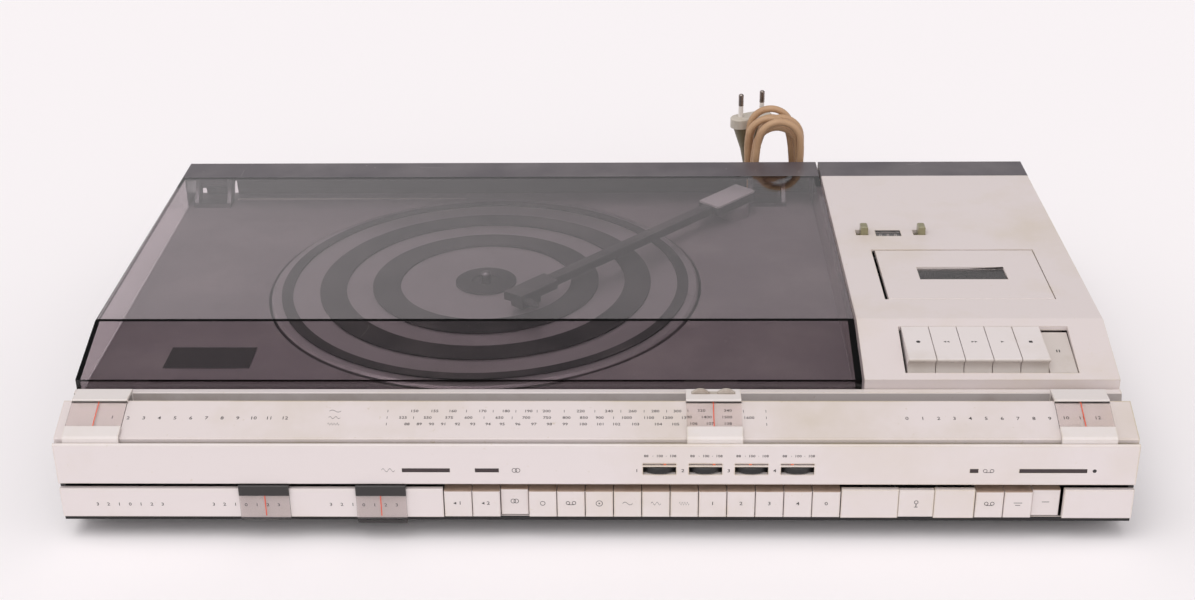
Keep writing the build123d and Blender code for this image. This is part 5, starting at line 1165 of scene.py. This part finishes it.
@dataclass
class RecordPlayer(SubAssembly):
    """Lid, deck plate, platter, pulley, tone arm and hinges."""

    rings: tuple = ((3.8, 21.1), (58.9, 78.1), (95.9, 114.1), (132.4, 140.1))
    spindle_radius: float = 3.7
    spindle_foot: float = 71.1
    mat_floor: float = 70.0
    arm_cap_foot: float = 85.05
    control_plate: BoxZone = BoxZone(x=(-275.1, -219.8), y=(-98.9, -70.2), z=(68.95, 69.4))
    joint_y: float = 159.5
    lip_back: float = -128.0
    lip_top: float = 80.0
    between_cheeks: tuple = ((-309.3, -288.7), (-284.7, 110.7), (114.7, 135.3), (139.3, 162.7))
    # the pale sliver behind the plate, a painted highlight on its rear edge, and the outlines of sill
    # and lip, as (Y, Z)
    trim: tuple = ((-283.0, 172.8), (-106.0, 174.4), (-106.0, 175.6), (-283.0, 177.0))
    sill: tuple = ((185.8, 69.0), (186.5, 69.0), (186.5, 73.0), (185.8, 73.0))
    lip: tuple = ((185.6, 80.2), (184.6, 80.2), (184.6, 73.6),
                  (185.8, 73.6), (186.8, 76.0), (187.4, 80.2))

    def build(self) -> None:
        """Dress the record player."""
        self.model.dress("turntable_plate", PLINTH, (self.control_plate, CONTROL_PLATE))
        rings = [(RingZone(*span, self.mat_floor), PLATTER_RUBBER) for span in self.rings]
        spindle = RingZone(0, self.spindle_radius, self.spindle_foot)
        self.model.dress("platter", PLATTER_METAL, *rings, (spindle, STEEL))
        self.model.dress("motor_pulley", BRASS)
        self.model.dress("tonearm", ARM_BLACK, (BoxZone(z=(self.arm_cap_foot, 90)), ARM_CAP))
        self.model.dress("tonearm_base", PLINTH)
        self.model.dress("hinge_brackets", STEEL)
        tail = BoxZone(y=(self.joint_y + 0.01, 200))
        # the front lip takes the darker smoke, painted shade
        front_lip = BoxZone(y=(-200, self.lip_back), z=(0, self.lip_top))
        self.model.dress("lid", SMOKE, (tail, REAR_STRIP), (front_lip, LIP_SMOKE_SHADE))
        self.seals()

    def seals(self) -> None:
        """Add the sill behind the lid and the lip that hangs over it.

        Both keep clear of the round that the lid's lower corner sweeps about its hinge.
        """
        pieces = (("rear_sill", CABINET, self.sill), ("lid_seal", "lid_body", self.lip))
        for name, body, profile in pieces:
            whole = bmesh.new()
            for span in self.between_cheeks:
                ends = [[whole.verts.new(Vector((x, y, z)) * MM) for y, z in profile] for x in span]
                for near, near_after, far, far_after in zip(
                        ends[0], ends[0][1:] + ends[0][:1], ends[1], ends[1][1:] + ends[1][:1]):
                    whole.faces.new((near, near_after, far_after, far))
                for end in ends:
                    whole.faces.new(end)
            bmesh.ops.recalc_face_normals(whole, faces=whole.faces[:])
            add_piece(name, whole, body, SHADOW_TRIM)
        # A pale sliver along the plate's rear edge, a painted highlight.
        trim = Print("rear_painted_highlight", (0, 0, PLATE_TOP), up=(0, 1, 0))
        trim.patch(self.trim)
        trim.done(CABINET, PIANO)


@dataclass
class MainsLead(SubAssembly):
    """The mains lead: free stretch, hank and plug, on one smooth line."""

    diameter: float = 5.5
    length: float = 1856.0
    exit: Point = (250.0, 188.0, 26.0)
    route: tuple = ((250.0, 188.0, 26.0), (250.0, 222.0, 26.0), (222.0, 240.0, 11.0),
                    (192.0, 222.0, 3.45), (165.5, 203.0, 3.45), (133.5, 203.0, 3.45))
    tail: tuple = ((117.0, 240.2, 33.95), (117.0, 249.0, 52.0), (117.0, 249.0, 71.0))
    hank_x: float = 133.5
    hank_y: float = 203.0
    fold: float = 16.5
    low: float = 19.95
    high: float = 106.0
    pitch: float = 6.2
    loops: int = 6
    swell: float = 1.05  # the smooth line cuts inside its points by this much
    sway: float = 5.0
    drop: float = 7.0
    plug_face: float = 103.0
    plug_pins: float = 111.05
    plug_tips: float = 120.5
    relief_radius: float = 6.0
    relief_length: float = 25.0
    ribs: int = 5
    rib_pitch: float = 4.2
    tie_height: float = 48.0
    tie_width: float = 6.0
    tie_wall: float = 1.0
    tie_steps: int = 40
    tie_squareness: float = 0.35  # 1 gives an ellipse, and 0 a rectangle

    def bow(self, turns: Iterable[int], x: float, y: float, z: float) -> list[Point]:
        """Lay part of a fold.

        Args:
            turns: Angles of the points, in degrees.
            x: Middle of the fold.
            y: Its place along the bundle.
            z: Height of its middle.

        Returns:
            The points, in order.
        """
        radius = self.fold * self.swell
        angles = [math.radians(turn) for turn in turns]
        return [(x + radius * math.cos(angle), y, z + radius * math.sin(angle)) for angle in angles]

    def points(self) -> list[Point]:
        """Lay the whole line, from the rear panel to the plug.

        Returns:
            The points, in millimetres.
        """
        points: list[Point] = list(self.route[:-1])
        points += self.bow((-90, -135), self.hank_x, self.hank_y, self.low)
        radius = self.fold * self.swell
        left, right = self.hank_x - radius, self.hank_x + radius
        for loop in range(self.loops):
            here = self.hank_y + loop * self.pitch
            lean = self.sway * math.sin(2.3 * loop + 0.6)
            top = self.high - self.drop * (0.5 - 0.5 * math.cos(2.6 * loop))
            points += [(left, here, self.low), (left + 0.3 * lean, here, 0.5 * (self.low + top))]
            points += self.bow((180, 135, 90, 45, 0), self.hank_x + lean, here, top)
            points.append((right + 0.3 * lean, here + self.pitch / 2, 0.5 * (self.low + self.high)))
            last = (-180,) if loop == self.loops - 1 else ()
            points += self.bow((0, -45, -90, -135, *last), self.hank_x, here + self.pitch, self.low)
        return points + list(self.tail)

    def build(self) -> None:
        """Dress the plug and add the lead with its strain relief and tie."""
        base = BoxZone(z=(0, self.plug_face))
        sleeves = BoxZone(z=(self.plug_pins, self.plug_tips - 0.05))
        tips = BoxZone(z=(self.plug_tips, 131))
        self.model.dress("mains_plug", PLUG_FACE,
                         (base, PLUG_BODY), (sleeves, PIN_SLEEVE), (tips, PIN_METAL))
        curve = bpy.data.curves.new("mains_lead", "CURVE")
        curve.dimensions = "3D"
        curve.bevel_depth = self.diameter / 2 * MM
        curve.bevel_resolution = 4
        curve.resolution_u = 6
        spline = curve.splines.new("NURBS")
        points = self.points()
        spline.points.add(len(points) - 1)
        for knot, point in zip(spline.points, points):
            knot.co = (*(value * MM for value in point), 1)
        spline.order_u = 3
        spline.use_endpoint_u = True
        curve.materials.append(SHEATH.material())
        lead = show("mains_lead", curve)
        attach(lead, CABINET)
        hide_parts("mains_cord", "cord_hank")
        relief = self.relief()
        tie = self.tie()
        LOG.info("laid the mains lead with %d points", len(points))

    def relief(self) -> bpy.types.Object:
        """Add the tapered, ribbed strain relief at the rear panel.

        Returns:
            The new object.
        """
        outline = [(0, 0), (self.relief_radius, 0), (self.relief_radius, 2.0)]
        for rib in range(self.ribs):
            start = 3.0 + rib * self.rib_pitch
            radius = 5.4 - 0.35 * rib
            outline += [(radius - 0.8, start), (radius, start + 0.8), (radius, start + 2.4),
                        (radius - 0.8, start + 3.2)]
        outline += [(3.0, self.relief_length), (0, self.relief_length)]
        place = moved(self.exit) @ Matrix.Rotation(-math.pi / 2, 4, "X")
        return add_piece("strain_relief", turned(outline, place), CABINET, CASE)

    def tie(self) -> bpy.types.Object:
        """Add the flat strap round the hank's waist.

        Returns:
            The new object.
        """
        depth = self.pitch * self.loops / 2
        half = (self.fold + self.diameter / 2 + 1.2, depth + self.diameter / 2 + 1.0)
        middle = (self.hank_x, self.hank_y + depth)
        shape = bmesh.new()
        rings = []
        for grow, level in ((0.0, -0.5), (0.0, 0.5), (self.tie_wall, 0.5), (self.tie_wall, -0.5)):
            ring = []
            for step in range(self.tie_steps):
                angle = math.tau * step / self.tie_steps
                x, y = (mid + math.copysign(abs(way) ** self.tie_squareness, way) * (size + grow)
                        for mid, way, size in zip(middle, (math.cos(angle), math.sin(angle)), half))
                spot = Vector((x, y, self.tie_height + level * self.tie_width))
                ring.append(shape.verts.new(spot * MM))
            rings.append(ring)
        for first, second in zip(rings, rings[1:] + rings[:1]):
            for step in range(self.tie_steps):
                after = (step + 1) % self.tie_steps
                shape.faces.new((first[step], first[after], second[after], second[step]))
        bmesh.ops.recalc_face_normals(shape, faces=shape.faces[:])
        return add_piece("lead_tie", shape, CABINET, SHADOW_TRIM, smooth=True)


@dataclass
class Studio:
    """Pale floor, soft light and the camera at the photograph's angle."""

    floor_colour: Colour = shade(251, 247, 248)
    floor_half: float = 9.0
    world_level: float = 0.82
    world_right: float = 0.56  # the surround behind the set at the right, mirrored by the lid's top
    world_dim: float = 0.16  # the surround above and behind the set, which the lid's slope mirrors
    above: Span = (0.5, 0.8)  # spans of a direction's parts in which these regions of it begin
    behind: Span = (-0.1, 0.25)
    rightward: Span = (-0.32, 0.04)
    sun_level: float = 1.05
    sun_spread: float = 48.0
    lamps: dict = field(default_factory=lambda: {
        "key_lamp": ((14, -12, 0), 0.97), "fill_lamp": ((58, 16, 0), 0.34)})
    world_colour: Colour = (1.0, 0.975, 0.985)
    picture_width: float = 1195.0
    focal_pixels: float = 1753.1
    sensor: float = 36.0
    pitch: float = 26.25
    yaw: float = -1.5
    roll: float = 0.72
    eye: Point = (27.2, -1071.7, 598.2)

    def build(self) -> None:
        """Make floor, lights and camera."""
        self.floor()
        self.lights()
        self.camera()
        bpy.context.scene.view_settings.view_transform = "Standard"
        LOG.info("built the studio")

    def floor(self) -> None:
        """Lay the floor on which the set stands."""
        material, graph = Graph.of_material("studio_floor")
        cloud = graph.noise(graph.place(), 1.5, 2.0, 0.5)
        pale, paler = (*self.floor_colour, 1), (*(0.99 * part for part in self.floor_colour), 1)
        shader = graph.add("ShaderNodeBsdfPrincipled", {
            "Base Color": graph.mix(cloud, pale, paler), "Roughness": 0.9, "Specular IOR Level": 0.0})
        graph.add("ShaderNodeOutputMaterial", {"Surface": shader.outputs[0]})
        mesh = bpy.data.meshes.new("studio_floor")
        half = self.floor_half
        mesh.from_pydata([(-half, -half, 0), (half, -half, 0), (half, half, 0), (-half, half, 0)],
                         [], [(0, 1, 2, 3)])
        mesh.materials.append(material)
        show("studio_floor", mesh)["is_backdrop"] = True

    def lights(self) -> None:
        """Light the set with an even white surround and two wide, soft lamps."""
        world = bpy.data.worlds.new("studio")
        bpy.context.scene.world = world
        world.use_nodes = True
        graph = Graph(world.node_tree)
        graph.tree.nodes.clear()
        way = graph.add("ShaderNodeTexCoord").outputs["Generated"]
        parts = graph.add("ShaderNodeSeparateXYZ", {0: way}).outputs
        high = graph.remap(parts["Z"], *self.above)
        behind = graph.remap(parts["Y"], *self.behind)
        dim = graph.math("MULTIPLY", high, behind)
        right = graph.math("MULTIPLY", graph.remap(parts["X"], *self.rightward), behind)
        wide = graph.remap(right, 0.0, 1.0, (self.world_level, self.world_right))
        around = graph.remap(dim, 0.0, 1.0, (wide, self.world_dim))
        path = graph.add("ShaderNodeLightPath").outputs["Is Camera Ray"]
        level = graph.math("MAXIMUM", around, path)
        back = graph.add("ShaderNodeBackground", {"Color": (*self.world_colour, 1), "Strength": level})
        graph.add("ShaderNodeOutputWorld", {"Surface": back.outputs[0]})
        for name, (turn, share) in self.lamps.items():
            lamp = bpy.data.lights.new(name, "SUN")
            lamp.energy = self.sun_level * share
            lamp.angle = math.radians(self.sun_spread)
            show(name, lamp).rotation_euler = [math.radians(value) for value in turn]

    def camera(self) -> None:
        """Stand the camera where the photograph was taken from."""
        pitch, yaw, roll = (math.radians(value) for value in (self.pitch, self.yaw, self.roll))
        flat = math.cos(pitch)
        ahead = Vector((math.sin(yaw) * flat, math.cos(yaw) * flat, -math.sin(pitch)))
        level = Vector((math.cos(yaw), -math.sin(yaw), 0))
        down = ahead.cross(level)
        right = math.cos(roll) * level + math.sin(roll) * down
        below = math.cos(roll) * down - math.sin(roll) * level
        data = bpy.data.cameras.new("camera")
        data.sensor_width = self.sensor
        data.lens = self.focal_pixels / self.picture_width * self.sensor
        camera = show("camera", data)
        turn = Matrix((right, -below, -ahead)).transposed().to_4x4()
        camera.matrix_world = moved(self.eye) @ turn
        bpy.context.scene.camera = camera


def main() -> None:
    """Build the looks of the whole set."""
    logging.basicConfig(level=logging.INFO, format="%(name)s: %(message)s")
    model = Model()
    Studio().build()
    for kind in (MainsLead, Case, Dial, Sliders, Presets, FrontKeys, CassetteDeck, RecordPlayer):
        kind(model).build()


if __name__ == "__main__":
    main()
